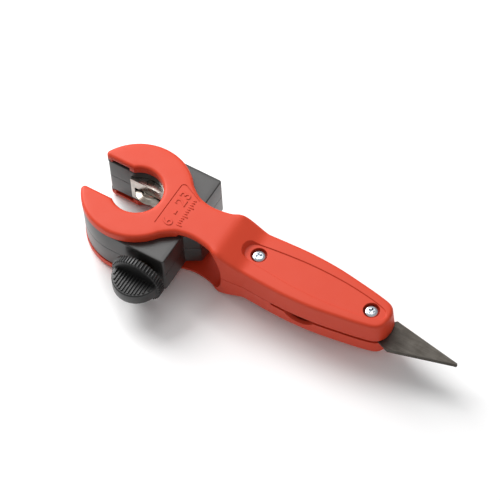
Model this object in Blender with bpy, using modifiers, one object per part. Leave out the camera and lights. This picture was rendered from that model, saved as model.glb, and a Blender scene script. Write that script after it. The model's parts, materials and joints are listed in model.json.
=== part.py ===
"""Ratcheting C-head tube cutter with a fold-out deburring blade.

The tool lies flat. In the tool's own frame the ring's axis is Z, the handle points along +X,
the feed knob faces -Y, and Z is zero on the seam between the two halves of every casing.
"""

import math

import bmesh
import bpy
from mathutils import Matrix, Vector

MM = 0.001

# Gaps: two meshes that touch keep SEAM_GAP, moving pieces keep RUN_GAP.
SEAM_GAP = 0.3 * MM
RUN_GAP = 0.35 * MM

# C-shaped plates of the handle
RING_RADIUS = 33.0 * MM
BORE_RADIUS = 15.4 * MM
MOUTH_WIDTH = 23.8 * MM
JAW_TIP_ROUND = 2.4 * MM
PLATE_THICKNESS = 5.8 * MM
PLATE_EDGE_ROUND = 2.0 * MM

# Handle
NECK_HALF_WIDTH = 12.0 * MM
GRIP_HALF_WIDTH = 17.5 * MM
WAIST_HALF_WIDTH = 16.4 * MM
GRIP_HALF_HEIGHT = 14.2 * MM
GRIP_WALL = 2.8 * MM
NECK_WALL = 2.8 * MM
RAMP_START = 62.0 * MM
RAMP_END = 78.5 * MM
BLADE_PIVOT_X = 156.0 * MM
HANDLE_TAIL = 13.0 * MM
FRONT_SCREW_STEP = 3.5 * MM

# Rotating head
HEAD_HALF_HEIGHT = 14.6 * MM
HEAD_RADIUS = 32.7 * MM
BLOCK_BACK = 37.5 * MM
BLOCK_ROUND = 1.6 * MM
BOSS_LENGTH = 8.7 * MM
BOSS_ROOT_HALF_WIDTH = 11.0 * MM
BOSS_TIP_HALF_WIDTH = 5.8 * MM
BOSS_HALF_HEIGHT = 13.0 * MM
GUIDE_RIB_INNER = 29.3 * MM
GUIDE_RIB_OUTER = 31.1 * MM
GUIDE_RIB_HEIGHT = 1.6 * MM

# Ratchet
TOOTH_COUNT = 72
TOOTH_ROOT_RADIUS = 23.0 * MM
TOOTH_HEIGHT = 1.4 * MM
RATCHET_RING_INNER = 18.0 * MM
RATCHET_RING_THICKNESS = 2.1 * MM
PAWL_WIDTH = 4.8 * MM
PAWL_BAR = 2.3 * MM
PAWL_ARM = 2.7 * MM
PAWL_NOSE = 3.0 * MM
PAWL_TRAVEL = 1.6 * MM
PAWL_SPRING_RADIUS = 2.9 * MM
PAWL_SPRING_WIRE = 0.7 * MM
PAWL_SPRING_TURNS = 6

# Feed screw and knob
FEED_X = 24.5 * MM
FEED_RADIUS = 3.5 * MM
FEED_COLLAR_STEP = 2.3 * MM
FEED_COLLAR_LENGTH = 2.0 * MM
BUSH_WALL = 1.5 * MM
BUSH_FLANGE = 1.2 * MM
BUSH_LENGTH = 4.0 * MM
KNOB_RADIUS = 16.5 * MM
KNOB_RIM = 5.3 * MM
KNOB_RIBS = 50
KNOB_RIB_DEPTH = 0.5 * MM
KNOB_HUB_RADIUS = 9.0 * MM
KNOB_HUB = 2.6 * MM
PADDLE_RADIUS = 14.4 * MM
PADDLE_THICKNESS = 9.7 * MM
CLIP_THICKNESS = 0.8 * MM
KNOB_CLEARANCE = 0.8 * MM

# Wheel carriage and cutting wheel
WHEEL_RADIUS = 9.2 * MM
WHEEL_Y = 13.4 * MM
WHEEL_HUB_RADIUS = 4.6 * MM
WHEEL_HUB_THICKNESS = 4.0 * MM
WHEEL_EDGE = 0.3 * MM
WHEEL_PIN_RADIUS = 2.0 * MM
CARRIAGE_HALF_WIDTH = 12.1 * MM
CARRIAGE_DEPTH = 10.0 * MM
CARRIAGE_HALF_HEIGHT = 9.6 * MM
CARRIAGE_ARM_END = 30.2 * MM
NUT_WALL = 1.05 * MM
OPENING_TRAVEL = 7.0 * MM
CLOSING_TRAVEL = 14.0 * MM

# Guide rollers
ROLLER_RADIUS = 5.0 * MM
ROLLER_X = 7.0 * MM
ROLLER_GROOVE_RADIUS = 3.6 * MM
ROLLER_GROOVE_HALF = 1.6 * MM
ROLLER_HALF_LENGTH = 9.3 * MM
ROLLER_PIN_RADIUS = 1.5 * MM
PIN_SEAT = 2.4 * MM

# Deburring blade, measured from its pivot
BLADE_THICKNESS = 1.4 * MM
BLADE_LENGTH = 55.4 * MM
BLADE_HEEL = 16.6 * MM
BLADE_HEEL_DROP = 11.6 * MM
BLADE_SHOULDER = 12.4 * MM
BLADE_SHOULDER_RISE = 8.4 * MM
BLADE_TANG_RADIUS = 8.0 * MM
BLADE_TIP_ROUND = 1.1 * MM
SLOT_FLOOR = 2.2 * MM
PIVOT_BUSH_WALL = 1.3 * MM
PIVOT_BUSH_REACH = 6.0 * MM

# Fasteners
CASE_SCREW_RADIUS = 2.0 * MM
CASE_SCREW_HEAD_RADIUS = 3.8 * MM
CASE_SCREW_HEAD = 2.2 * MM
COUNTERBORE_RADIUS = 4.9 * MM
COUNTERBORE_DEPTH = 3.6 * MM
NUT_ACROSS_CORNERS = 8.0 * MM
NUT_THICKNESS = 3.2 * MM
POST_RADIUS = 6.4 * MM
HEAD_SCREW_RADIUS = 1.2 * MM
HEAD_SCREW_HEAD_RADIUS = 2.2 * MM
HEAD_SCREW_HEAD = 1.4 * MM
HEAD_SCREW_DEPTH = 20.0 * MM
JAW_SCREW_CIRCLE = 26.9 * MM
JAW_SCREW_ANGLE = math.radians(132)

# Worked out from the sizes above
PLATE_UNDER = HEAD_HALF_HEIGHT + RUN_GAP
KNOB_RELIEF = max(KNOB_RADIUS, HEAD_HALF_HEIGHT) + KNOB_CLEARANCE
HALF_HEIGHT = max(PLATE_UNDER + PLATE_THICKNESS, KNOB_RELIEF + NECK_WALL)
HANDLE_END = BLADE_PIVOT_X + HANDLE_TAIL
FRONT_SCREW_X = RAMP_END + FRONT_SCREW_STEP
MOUTH_HALF = MOUTH_WIDTH / 2
JAW_TIP_X = -math.sqrt((RING_RADIUS - JAW_TIP_ROUND) ** 2 - (MOUTH_HALF + JAW_TIP_ROUND) ** 2) - JAW_TIP_ROUND
BOSS_END = BLOCK_BACK + BOSS_LENGTH
FEED_COLLAR_RADIUS = FEED_RADIUS + FEED_COLLAR_STEP
NUT_RADIUS = FEED_RADIUS + RUN_GAP + NUT_WALL
PIVOT_BUSH_RADIUS = CASE_SCREW_RADIUS + SEAM_GAP + PIVOT_BUSH_WALL
RATCHET_RECESS_OUTER = TOOTH_ROOT_RADIUS + PAWL_NOSE + PAWL_TRAVEL + 2 * SEAM_GAP
RATCHET_RECESS_DEPTH = RATCHET_RING_THICKNESS + 2 * SEAM_GAP
KNOB_REAR = HEAD_RADIUS + KNOB_HUB + 2.6 * MM
KNOB_FACE = KNOB_REAR + KNOB_RIM
PADDLE_CENTRE = KNOB_FACE - 1.2 * MM
KNOB_FRONT = PADDLE_CENTRE + PADDLE_RADIUS
KNOB_SWEEP = math.hypot(FEED_X, PADDLE_CENTRE) + PADDLE_RADIUS
POCKET_RADIUS = KNOB_SWEEP + 5.4 * MM
BLADE_TIP_X = BLADE_PIVOT_X + BLADE_LENGTH
CARRIAGE_FRONT = WHEEL_Y - WHEEL_PIN_RADIUS - 1.4 * MM
CARRIAGE_BACK = CARRIAGE_FRONT + CARRIAGE_DEPTH
GUIDE_Z = CARRIAGE_HALF_HEIGHT + RUN_GAP
POCKET_BACK_Y = WHEEL_Y + WHEEL_RADIUS + OPENING_TRAVEL + RUN_GAP
POCKET_FRONT_Y = CARRIAGE_FRONT - CLOSING_TRAVEL - 2 * RUN_GAP
POCKET_LEFT_X = -CARRIAGE_HALF_WIDTH - RUN_GAP
POCKET_RIGHT_X = CARRIAGE_ARM_END + RUN_GAP
ROLLER_Y = -(MOUTH_HALF + ROLLER_RADIUS)
BAR_BACK = POCKET_RIGHT_X + RUN_GAP + PAWL_BAR
BLADE_BOTTOM = -SLOT_FLOOR + RUN_GAP
ARM_Z = HEAD_HALF_HEIGHT - 0.4 * MM - PAWL_ARM
FEED_END_Y = POCKET_BACK_Y - RUN_GAP
FAR = 0.4
# Turned cutters start off the X axis, so their edges never run along the ones they cut.
CUTTER_TURN = math.radians(1.1)


# ---------------------------------------------------------------- scene helpers

def clear_scene():
    for item in list(bpy.data.objects):
        bpy.data.objects.remove(item, do_unlink=True)


def new_collection(name):
    collection = bpy.data.collections.new(name)
    bpy.context.scene.collection.children.link(collection)
    return collection


def new_material(name, colour, roughness, metallic=0.0):
    material = bpy.data.materials.new(name)
    material.use_nodes = True
    shader = material.node_tree.nodes["Principled BSDF"]
    shader.inputs["Base Color"].default_value = (*colour, 1.0)
    shader.inputs["Roughness"].default_value = roughness
    shader.inputs["Metallic"].default_value = metallic
    return material


def new_empty(name, parent=None, at=(0, 0, 0)):
    empty = bpy.data.objects.new(name, None)
    empty.parent = parent
    empty.location = at
    PARTS.objects.link(empty)
    return empty


def finish(piece, parent, material, at=(0, 0, 0)):
    """Put a finished sub-part in the part collection under its parent."""
    piece.parent = parent
    piece.location = at
    if material is not None:
        piece.data.materials.clear()
        piece.data.materials.append(material)
    return piece


def mesh_object(name, bm):
    mesh = bpy.data.meshes.new(name)
    bmesh.ops.recalc_face_normals(bm, faces=bm.faces)
    bm.to_mesh(mesh)
    bm.free()
    piece = bpy.data.objects.new(name, mesh)
    PARTS.objects.link(piece)
    return piece


def as_cutter(piece, parent, at=(0, 0, 0)):
    piece.parent = parent
    piece.location = at
    piece.hide_render = True
    piece.display_type = "WIRE"
    PARTS.objects.unlink(piece)
    CUTTERS.objects.link(piece)
    return piece


def boolean(target, tool, operation):
    modifier = target.modifiers.new(operation.lower() + "_" + tool.name, "BOOLEAN")
    modifier.object = tool
    modifier.operation = operation
    modifier.solver = "EXACT"
    return target


def cut(target, tool, parent, at=(0, 0, 0)):
    return boolean(target, as_cutter(tool, parent, at), "DIFFERENCE")


def add(target, tool, parent, at=(0, 0, 0)):
    return boolean(target, as_cutter(tool, parent, at), "UNION")


def round_edges(target, width, segments=2, angle=50.0):
    modifier = target.modifiers.new("edges", "BEVEL")
    modifier.width = width
    modifier.segments = segments
    modifier.limit_method = "ANGLE"
    modifier.angle_limit = math.radians(angle)
    weld = target.modifiers.new("weld", "WELD")
    weld.merge_threshold = 0.05 * MM
    return target


# ---------------------------------------------------------------- basic shapes

def box(name, low, high):
    bm = bmesh.new()
    bmesh.ops.create_cube(bm, size=1.0)
    size = Vector(high) - Vector(low)
    middle = (Vector(high) + Vector(low)) / 2
    bmesh.ops.scale(bm, vec=size, verts=bm.verts)
    bmesh.ops.translate(bm, vec=middle, verts=bm.verts)
    return mesh_object(name, bm)


def cylinder(name, radius, start, end, segments=32, tip_radius=None):
    """Cylinder or cone between two points."""
    start, end = Vector(start), Vector(end)
    bm = bmesh.new()
    bmesh.ops.create_cone(bm, cap_ends=True, segments=segments, radius1=radius,
                          radius2=radius if tip_radius is None else tip_radius,
                          depth=(end - start).length)
    turn = Vector((0, 0, 1)).rotation_difference(end - start).to_matrix().to_4x4()
    bmesh.ops.transform(bm, matrix=Matrix.Translation((start + end) / 2) @ turn, verts=bm.verts)
    return mesh_object(name, bm)


def prism(name, outline, low, high):
    """Flat outline in X and Y, filled and extruded from height low to height high."""
    curve = bpy.data.curves.new(name + "_outline", "CURVE")
    curve.dimensions = "2D"
    curve.fill_mode = "BOTH"
    curve.extrude = (high - low) / 2
    spline = curve.splines.new("POLY")
    spline.points.add(len(outline) - 1)
    for point, (x, y) in zip(spline.points, outline):
        point.co = (x, y, 0, 1)
    spline.use_cyclic_u = True
    guide = bpy.data.objects.new(name + "_guide", curve)
    PARTS.objects.link(guide)
    guide.location = (0, 0, (low + high) / 2)
    bpy.context.view_layer.update()
    evaluated = guide.evaluated_get(bpy.context.evaluated_depsgraph_get())
    bm = bmesh.new()
    bm.from_mesh(bpy.data.meshes.new_from_object(evaluated))
    bmesh.ops.remove_doubles(bm, verts=bm.verts, dist=1e-6)
    bmesh.ops.transform(bm, matrix=guide.matrix_world, verts=bm.verts)
    bpy.data.objects.remove(guide, do_unlink=True)
    return mesh_object(name, bm)


def turned(name, profile, steps=64, start_angle=0.0):
    """Turn a profile of (radius, height) points, listed down its outer side, round Z."""
    bm = bmesh.new()
    cosine, sine = math.cos(start_angle), math.sin(start_angle)
    verts = [bm.verts.new((radius * cosine, radius * sine, height)) for radius, height in profile]
    for first, second in zip(verts, verts[1:]):
        bm.edges.new((first, second))
    mesh = bpy.data.meshes.new(name)
    bm.to_mesh(mesh)
    bm.free()
    piece = bpy.data.objects.new(name, mesh)
    PARTS.objects.link(piece)
    screw = piece.modifiers.new("turn", "SCREW")
    screw.steps = steps
    screw.render_steps = steps
    screw.use_merge_vertices = True
    screw.merge_threshold = 0.00001
    return piece


def turned_band(name, inner, outer, low, high, steps=64, start_angle=0.0):
    """Ring of rectangular section."""
    profile = [(inner, high), (outer, high), (outer, low), (inner, low), (inner, high)]
    return turned(name, profile, steps, start_angle)


def arc(centre, radius, start, end, count):
    """Points on an arc, angles in degrees, both ends included."""
    points = []
    for step in range(count + 1):
        angle = math.radians(start + (end - start) * step / count)
        points.append((centre[0] + radius * math.cos(angle), centre[1] + radius * math.sin(angle)))
    return points


def smooth(points, per_span):
    """Points on a Catmull-Rom curve through the given points."""
    result = []
    for index in range(len(points) - 1):
        before = Vector(points[max(index - 1, 0)])
        start, end = Vector(points[index]), Vector(points[index + 1])
        after = Vector(points[min(index + 2, len(points) - 1)])
        for step in range(per_span):
            t = step / per_span
            point = 0.5 * ((2 * start) + (end - before) * t
                           + (2 * before - 5 * start + 4 * end - after) * t ** 2
                           + (3 * start - before - 3 * end + after) * t ** 3)
            result.append(tuple(point))
    result.append(tuple(points[-1]))
    return result


# ---------------------------------------------------------------- outlines

def jaw_outline(outer_radius, tip_round):
    """The bore's quarter, the straight mouth edge and the rounded tip, at Y above zero."""
    mouth_angle = math.degrees(math.asin(MOUTH_HALF / BORE_RADIUS))
    points = arc((0, 0), BORE_RADIUS, 0, 180 - mouth_angle, 20)
    centre_y = MOUTH_HALF + tip_round
    centre_x = -math.sqrt((outer_radius - tip_round) ** 2 - centre_y ** 2)
    tip_angle = math.degrees(math.atan2(centre_y, centre_x))
    points += arc((centre_x, centre_y), tip_round, 270, tip_angle, 4)
    return points, tip_angle


def handle_outline():
    """Ring, neck and grip seen from above, one closed loop round the bore and the outside."""
    inner, tip_angle = jaw_outline(RING_RADIUS, JAW_TIP_ROUND)
    ring_end = 36.0
    outer = arc((0, 0), RING_RADIUS, tip_angle, ring_end, 26)[1:]
    leave = outer[-1]
    neck_x = RING_RADIUS + 12.0 * MM
    waist_x = RAMP_END + 1.7 * MM
    neck = smooth([leave, (RING_RADIUS - 1.2 * MM, NECK_HALF_WIDTH + 3.4 * MM),
                   (RING_RADIUS + 4.0 * MM, NECK_HALF_WIDTH + 0.9 * MM), (neck_x, NECK_HALF_WIDTH),
                   (RAMP_START - 7.0 * MM, NECK_HALF_WIDTH + 1.8 * MM),
                   (RAMP_START - 1.3 * MM, GRIP_HALF_WIDTH - 1.1 * MM),
                   (RAMP_START + 5.0 * MM, GRIP_HALF_WIDTH - 0.1 * MM),
                   (waist_x, WAIST_HALF_WIDTH)], 4)[1:]
    middle = (RAMP_END + BLADE_PIVOT_X) / 2 - 12.0 * MM
    grip = smooth([(waist_x, WAIST_HALF_WIDTH), (middle, GRIP_HALF_WIDTH),
                   (middle + 20.0 * MM, GRIP_HALF_WIDTH - 0.8 * MM),
                   (BLADE_PIVOT_X - 13.0 * MM, GRIP_HALF_WIDTH - 3.2 * MM),
                   (BLADE_PIVOT_X, GRIP_HALF_WIDTH - 5.4 * MM),
                   (HANDLE_END - 5.0 * MM, GRIP_HALF_WIDTH - 7.6 * MM),
                   (HANDLE_END - 1.2 * MM, GRIP_HALF_WIDTH - 11.6 * MM), (HANDLE_END, 0)], 4)[1:]
    return inner, outer + neck + grip


def c_outline(inner, outer):
    """Join the inner and outer runs of a C into one closed loop."""
    upper = list(reversed(outer)) + list(reversed(inner))
    lower = [(x, -y) for x, y in inner[1:]] + [(x, -y) for x, y in outer]
    return upper + [point for point in lower if point[1] < -1e-9]


def head_outline():
    inner, tip_angle = jaw_outline(HEAD_RADIUS, JAW_TIP_ROUND)
    corner = (BLOCK_BACK - BLOCK_ROUND, HEAD_RADIUS - BLOCK_ROUND)
    outer = arc((0, 0), HEAD_RADIUS, tip_angle, 90, 16)[1:]
    outer += arc(corner, BLOCK_ROUND, 90, 0, 4) + [(BLOCK_BACK, 0)]
    return c_outline(inner, outer)


def blade_outline():
    """Blade in its own frame: pivot at the origin, tip along +X, edge towards -Y."""
    spine = Vector((BLADE_SHOULDER - BLADE_LENGTH, BLADE_SHOULDER_RISE - BLADE_TIP_ROUND))
    edge = Vector((BLADE_HEEL - BLADE_LENGTH, -BLADE_HEEL_DROP + BLADE_TIP_ROUND))
    spine_angle = math.degrees(math.atan2(spine.x, -spine.y)) + 180
    edge_angle = math.degrees(math.atan2(-edge.x, edge.y)) - 180
    tip = arc((BLADE_LENGTH - BLADE_TIP_ROUND, 0), BLADE_TIP_ROUND, edge_angle, spine_angle, 5)
    tang = arc((0, 0), BLADE_TANG_RADIUS, 48, 306, 18)
    shoulder = (BLADE_SHOULDER - 2.0 * MM, BLADE_SHOULDER_RISE - 2.0 * MM)
    heel = [(BLADE_HEEL - 6.0 * MM, -BLADE_HEEL_DROP + 2.4 * MM), (BLADE_HEEL, -BLADE_HEEL_DROP)]
    return heel + tip + [(BLADE_SHOULDER, BLADE_SHOULDER_RISE), shoulder] + tang


# ---------------------------------------------------------------- handle

def cut_to_half(body, sign):
    """Keep the part of a body on one side of the seam."""
    edge = SEAM_GAP / 2 * sign
    low, high = sorted((edge, -FAR * sign))
    return cut(body, box(body.name + "_seam", (-FAR, -FAR, low), (FAR, FAR, high)), TOOL)


def handle_body(name):
    """Ring, neck and grip, full height at the ring and lower along the grip."""
    body = prism(name, c_outline(*handle_outline()), -HALF_HEIGHT, HALF_HEIGHT)
    slope = (HALF_HEIGHT - GRIP_HALF_HEIGHT) / (RAMP_END - RAMP_START)
    start = RAMP_START - 1.0 * MM
    profile = [(start, HALF_HEIGHT + slope * 1.0 * MM), (RAMP_END, GRIP_HALF_HEIGHT),
               (FAR, GRIP_HALF_HEIGHT), (FAR, FAR), (start, FAR)]
    for sign, side in ((1, "upper"), (-1, "lower")):
        wedge = prism(name + "_ramp_" + side, profile, -FAR / 2, FAR / 2)
        wedge.data.transform(Matrix.Rotation(math.radians(90 * sign), 4, "X"))
        cut(body, wedge, TOOL)
    return round_edges(body, PLATE_EDGE_ROUND)


def pocket_profile():
    """Space that the head and its knob sweep inside the handle, as (radius, height) points."""
    relief_start = HEAD_RADIUS + 4.6 * MM
    top = [(0, PLATE_UNDER), (relief_start, PLATE_UNDER), (relief_start, KNOB_RELIEF)]
    bulge = 9.0 * MM
    wall = []
    for step in range(9):
        angle = math.radians(90 - 22.5 * step)
        wall.append((POCKET_RADIUS - bulge + bulge * math.cos(angle), KNOB_RELIEF * math.sin(angle)))
    return top + wall + [(radius, -height) for radius, height in reversed(top)]


def grip_cavity_outline():
    start = POCKET_RADIUS + 4.6 * MM
    end = BLADE_PIVOT_X + POST_RADIUS - 2.0 * MM
    outer = handle_outline()[1]
    side = [(x, y - GRIP_WALL) for x, y in outer if start + 2.0 * MM < x < end - 2.0 * MM]
    half = [(start, side[0][1])] + side + [(end, side[-1][1] - 2.0 * MM)]
    return half + [(x, -y) for x, y in reversed(half)]


def screw_post(shell, sign, x, top):
    """Post round a case screw, from the outer wall to a given height beyond the seam."""
    low, high = sorted((sign * top, sign * (GRIP_HALF_HEIGHT - 1.0 * MM)))
    post = cylinder(shell.name + f"_post_{x * 1000:.0f}", POST_RADIUS, (x, 0, low), (x, 0, high))
    add(shell, post, TOOL)
    hole = cylinder(shell.name + f"_hole_{x * 1000:.0f}", CASE_SCREW_RADIUS + SEAM_GAP,
                    (x, 0, -FAR), (x, 0, FAR), 24)
    cut(shell, hole, TOOL)


def make_shell(name, sign, material):
    """One half of the handle: C plate, neck and grip, with its recesses, posts and cavity."""
    shell = cut_to_half(handle_body(name), sign)
    cut(shell, turned(name + "_pocket", pocket_profile(), 96, CUTTER_TURN), TOOL)
    reach = PLATE_UNDER + RATCHET_RECESS_DEPTH
    cut(shell, turned_band(name + "_ratchet_recess", RATCHET_RING_INNER - SEAM_GAP,
                           RATCHET_RECESS_OUTER, -reach, reach, 64, 2 * CUTTER_TURN), TOOL)
    reach = HEAD_HALF_HEIGHT + GUIDE_RIB_HEIGHT + RUN_GAP
    cut(shell, turned_band(name + "_guide_groove", GUIDE_RIB_INNER - RUN_GAP,
                           GUIDE_RIB_OUTER + RUN_GAP, -reach, reach, 64, 3 * CUTTER_TURN), TOOL)
    reach = GRIP_HALF_HEIGHT - GRIP_WALL
    cut(shell, prism(name + "_cavity", grip_cavity_outline(), -reach, reach), TOOL)
    pivot_face = SEAM_GAP / 2 if sign > 0 else SLOT_FLOOR
    screw_post(shell, sign, FRONT_SCREW_X, SEAM_GAP / 2)
    screw_post(shell, sign, BLADE_PIVOT_X, abs(pivot_face) + SEAM_GAP)
    bush_end = sign * (PIVOT_BUSH_REACH + SEAM_GAP)
    cut(shell, cylinder(name + "_bush_seat", PIVOT_BUSH_RADIUS + SEAM_GAP, (BLADE_PIVOT_X, 0, 0),
                        (BLADE_PIVOT_X, 0, bush_end), 36), TOOL)
    for x in (FRONT_SCREW_X, BLADE_PIVOT_X):
        end = (x, 0, sign * FAR)
        if sign > 0:
            seat = cylinder(name + f"_counterbore_{x * 1000:.0f}", COUNTERBORE_RADIUS,
                            (x, 0, GRIP_HALF_HEIGHT - COUNTERBORE_DEPTH), end, 40)
        else:
            seat_top = -GRIP_HALF_HEIGHT + NUT_THICKNESS + 2 * SEAM_GAP
            seat = cylinder(name + f"_nut_seat_{x * 1000:.0f}", NUT_ACROSS_CORNERS / 2 + 1.5 * SEAM_GAP,
                            end, (x, 0, seat_top), 6)
        cut(shell, seat, TOOL)
    if sign < 0:
        cut_blade_slot(shell)
    return finish(shell, TOOL, material)


def cut_blade_slot(shell):
    """Slot for the folding blade along the near side and round the end, and a thumb notch."""
    tip_x = BLADE_PIVOT_X - BLADE_LENGTH - 1.0 * MM
    outline = [(tip_x, -FAR), (FAR, -FAR), (FAR, BLADE_SHOULDER_RISE + 1.0 * MM),
               (BLADE_PIVOT_X, BLADE_SHOULDER_RISE + 1.0 * MM), (tip_x, -4.0 * MM)]
    cut(shell, prism(shell.name + "_slot", outline, -SLOT_FLOOR, SEAM_GAP), TOOL)
    notch_radius = 10.4 * MM
    notch_x = tip_x + 18.0 * MM
    centre_z = -SLOT_FLOOR - 7.0 * MM + notch_radius
    outer = -GRIP_HALF_WIDTH
    cut(shell, cylinder(shell.name + "_notch", notch_radius, (notch_x, outer - 8.0 * MM, centre_z),
                        (notch_x, outer + 4.0 * MM, centre_z), 40, notch_radius - 3.0 * MM), TOOL)


def make_ratchet_ring(name, sign, material):
    """C-shaped steel ring with saw teeth round its outside, seated in a shell's recess."""
    pitch = 360 / TOOTH_COUNT
    half_teeth = int((180 - math.degrees(math.asin(MOUTH_HALF / RATCHET_RING_INNER))) / pitch) - 1
    points = []
    for tooth in range(-half_teeth, half_teeth + 1):
        for share, radius in ((0.0, TOOTH_ROOT_RADIUS), (0.25, TOOTH_ROOT_RADIUS + TOOTH_HEIGHT)):
            angle = math.radians((tooth + share) * pitch)
            points.append((radius * math.cos(angle), radius * math.sin(angle)))
    end = half_teeth * pitch
    points += arc((0, 0), RATCHET_RING_INNER, end, -end, 48)
    low = sign * (PLATE_UNDER + SEAM_GAP)
    high = sign * (PLATE_UNDER + SEAM_GAP + RATCHET_RING_THICKNESS)
    ring = prism(name, points, min(low, high), max(low, high))
    return finish(ring, TOOL, material)


def pan_head_screw(name, head_radius, head_height, shank_radius, length):
    """Screw along Z with a cross recess, the underside of its head at zero and its shank downwards."""
    dome = [(0, head_height), (head_radius * 0.62, head_height * 0.93),
            (head_radius * 0.9, head_height * 0.62), (head_radius, head_height * 0.2),
            (head_radius, 0), (shank_radius, 0), (shank_radius, -length + shank_radius * 0.5),
            (shank_radius * 0.6, -length), (0, -length)]
    screw = turned(name, dome, 32)
    arm, width, depth = head_radius * 0.5, head_radius * 0.13, head_height * 0.5
    for turn, side in ((0, "long"), (90, "cross")):
        slot = box(f"{name}_recess_{side}", (-arm, -width, head_height - depth),
                   (arm, width, head_height + depth))
        slot.data.transform(Matrix.Rotation(math.radians(turn), 4, "Z"))
        cut(screw, slot, screw)
    return screw


def make_case_fasteners(steel):
    seat = GRIP_HALF_HEIGHT - COUNTERBORE_DEPTH + SEAM_GAP
    length = seat + GRIP_HALF_HEIGHT - 0.8 * MM
    for name, x in (("front_case_screw", FRONT_SCREW_X), ("rear_case_screw", BLADE_PIVOT_X)):
        screw = pan_head_screw(name, CASE_SCREW_HEAD_RADIUS, CASE_SCREW_HEAD, CASE_SCREW_RADIUS, length)
        finish(screw, TOOL, steel, (x, 0, seat))
    for name, x in (("front_case_nut", FRONT_SCREW_X), ("rear_case_nut", BLADE_PIVOT_X)):
        nut = cylinder(name, NUT_ACROSS_CORNERS / 2, (0, 0, 0), (0, 0, NUT_THICKNESS), 6)
        bore = cylinder(name + "_bore", CASE_SCREW_RADIUS + SEAM_GAP, (0, 0, -FAR), (0, 0, FAR), 24)
        cut(nut, bore, nut)
        finish(nut, TOOL, steel, (x, 0, -GRIP_HALF_HEIGHT + SEAM_GAP))


def make_pivot_parts(steel):
    bush = turned_band("pivot_bush", CASE_SCREW_RADIUS + SEAM_GAP, PIVOT_BUSH_RADIUS,
                       -PIVOT_BUSH_REACH, PIVOT_BUSH_REACH, 32)
    finish(bush, TOOL, steel, (BLADE_PIVOT_X, 0, 0))


def make_blade(steel):
    """Triangular deburring blade that swings on the pivot bush."""
    blade = prism("deburring_blade", blade_outline(), BLADE_BOTTOM, BLADE_BOTTOM + BLADE_THICKNESS)
    bore = cylinder("blade_bore", PIVOT_BUSH_RADIUS + SEAM_GAP, (0, 0, -FAR), (0, 0, FAR), 32)
    cut(blade, bore, BLADE_AXIS)
    finish(blade, BLADE_AXIS, steel)


# ---------------------------------------------------------------- head

def head_body(name, sign):
    """One half of the head: C body, squared block, rear boss and guide rib."""
    low, high = sorted((sign * SEAM_GAP / 2, sign * HEAD_HALF_HEIGHT))
    half = prism(name, head_outline(), low, high)
    boss_root = BLOCK_BACK - 2.0 * MM
    outline = [(boss_root, -BOSS_ROOT_HALF_WIDTH), (BLOCK_BACK, -BOSS_ROOT_HALF_WIDTH),
               (BOSS_END - 0.8 * MM, -BOSS_TIP_HALF_WIDTH - 0.6 * MM), (BOSS_END, -BOSS_TIP_HALF_WIDTH)]
    outline += [(x, -y) for x, y in reversed(outline)]
    low, high = sorted((sign * SEAM_GAP / 2, sign * BOSS_HALF_HEIGHT))
    add(half, prism(name + "_boss", outline, low, high), HEAD_AXIS)
    low, high = sorted((sign * (HEAD_HALF_HEIGHT - 1.0 * MM), sign * (HEAD_HALF_HEIGHT + GUIDE_RIB_HEIGHT)))
    rib = turned_band(name + "_rib", GUIDE_RIB_INNER, GUIDE_RIB_OUTER, low, high, 72)
    gap = box(name + "_rib_gap", (-FAR, -MOUTH_HALF - 0.5 * MM, -FAR), (0, MOUTH_HALF + 0.5 * MM, FAR))
    cut(rib, gap, HEAD_AXIS)
    add(half, rib, HEAD_AXIS)
    return half


def cut_head_insides(half, sign):
    """Carriage pocket, feed screw channel, roller pockets, pawl slot and pin seats."""
    name = half.name
    cut(half, box(name + "_carriage_pocket", (POCKET_LEFT_X, POCKET_FRONT_Y, -GUIDE_Z),
                  (POCKET_RIGHT_X, POCKET_BACK_Y, GUIDE_Z)), HEAD_AXIS)
    channel_radius = FEED_COLLAR_RADIUS + RUN_GAP
    inside = -HEAD_RADIUS + BUSH_LENGTH
    cut(half, cylinder(name + "_feed_channel", channel_radius, (FEED_X, inside, 0),
                       (FEED_X, POCKET_FRONT_Y + 2.0 * MM, 0)), HEAD_AXIS)
    cut(half, cylinder(name + "_bush_seat", FEED_RADIUS + RUN_GAP + BUSH_WALL + SEAM_GAP,
                       (FEED_X, -FAR, 0), (FEED_X, inside + 2.0 * MM, 0)), HEAD_AXIS)
    for x in (-ROLLER_X, ROLLER_X):
        cut(half, cylinder(f"{name}_roller_pocket_{x * 1000:.0f}", ROLLER_RADIUS + RUN_GAP,
                           (x, ROLLER_Y, -ROLLER_HALF_LENGTH - RUN_GAP),
                           (x, ROLLER_Y, ROLLER_HALF_LENGTH + RUN_GAP)), HEAD_AXIS)
        seat = ROLLER_HALF_LENGTH + PIN_SEAT + SEAM_GAP
        cut(half, cylinder(f"{name}_pin_seat_{x * 1000:.0f}", ROLLER_PIN_RADIUS + SEAM_GAP,
                           (x, ROLLER_Y, -seat), (x, ROLLER_Y, seat), 20), HEAD_AXIS)
    side = PAWL_WIDTH / 2 + RUN_GAP
    slot_back = BAR_BACK + PAWL_TRAVEL + RUN_GAP
    cut(half, box(name + "_pawl_slot", (BAR_BACK - PAWL_BAR - RUN_GAP, -side, -FAR),
                  (slot_back, side, FAR)), HEAD_AXIS)
    low, high = sorted((sign * (ARM_Z - RUN_GAP), sign * FAR))
    cut(half, box(name + "_pawl_arm_slot", (TOOTH_ROOT_RADIUS, -side, low), (slot_back, side, high)),
        HEAD_AXIS)
    cut(half, cylinder(name + "_spring_seat", PAWL_SPRING_RADIUS + RUN_GAP, (slot_back - 2.0 * MM, 0, 0),
                       (BOSS_END - 1.4 * MM, 0, 0), 24), HEAD_AXIS)
    return half


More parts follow.
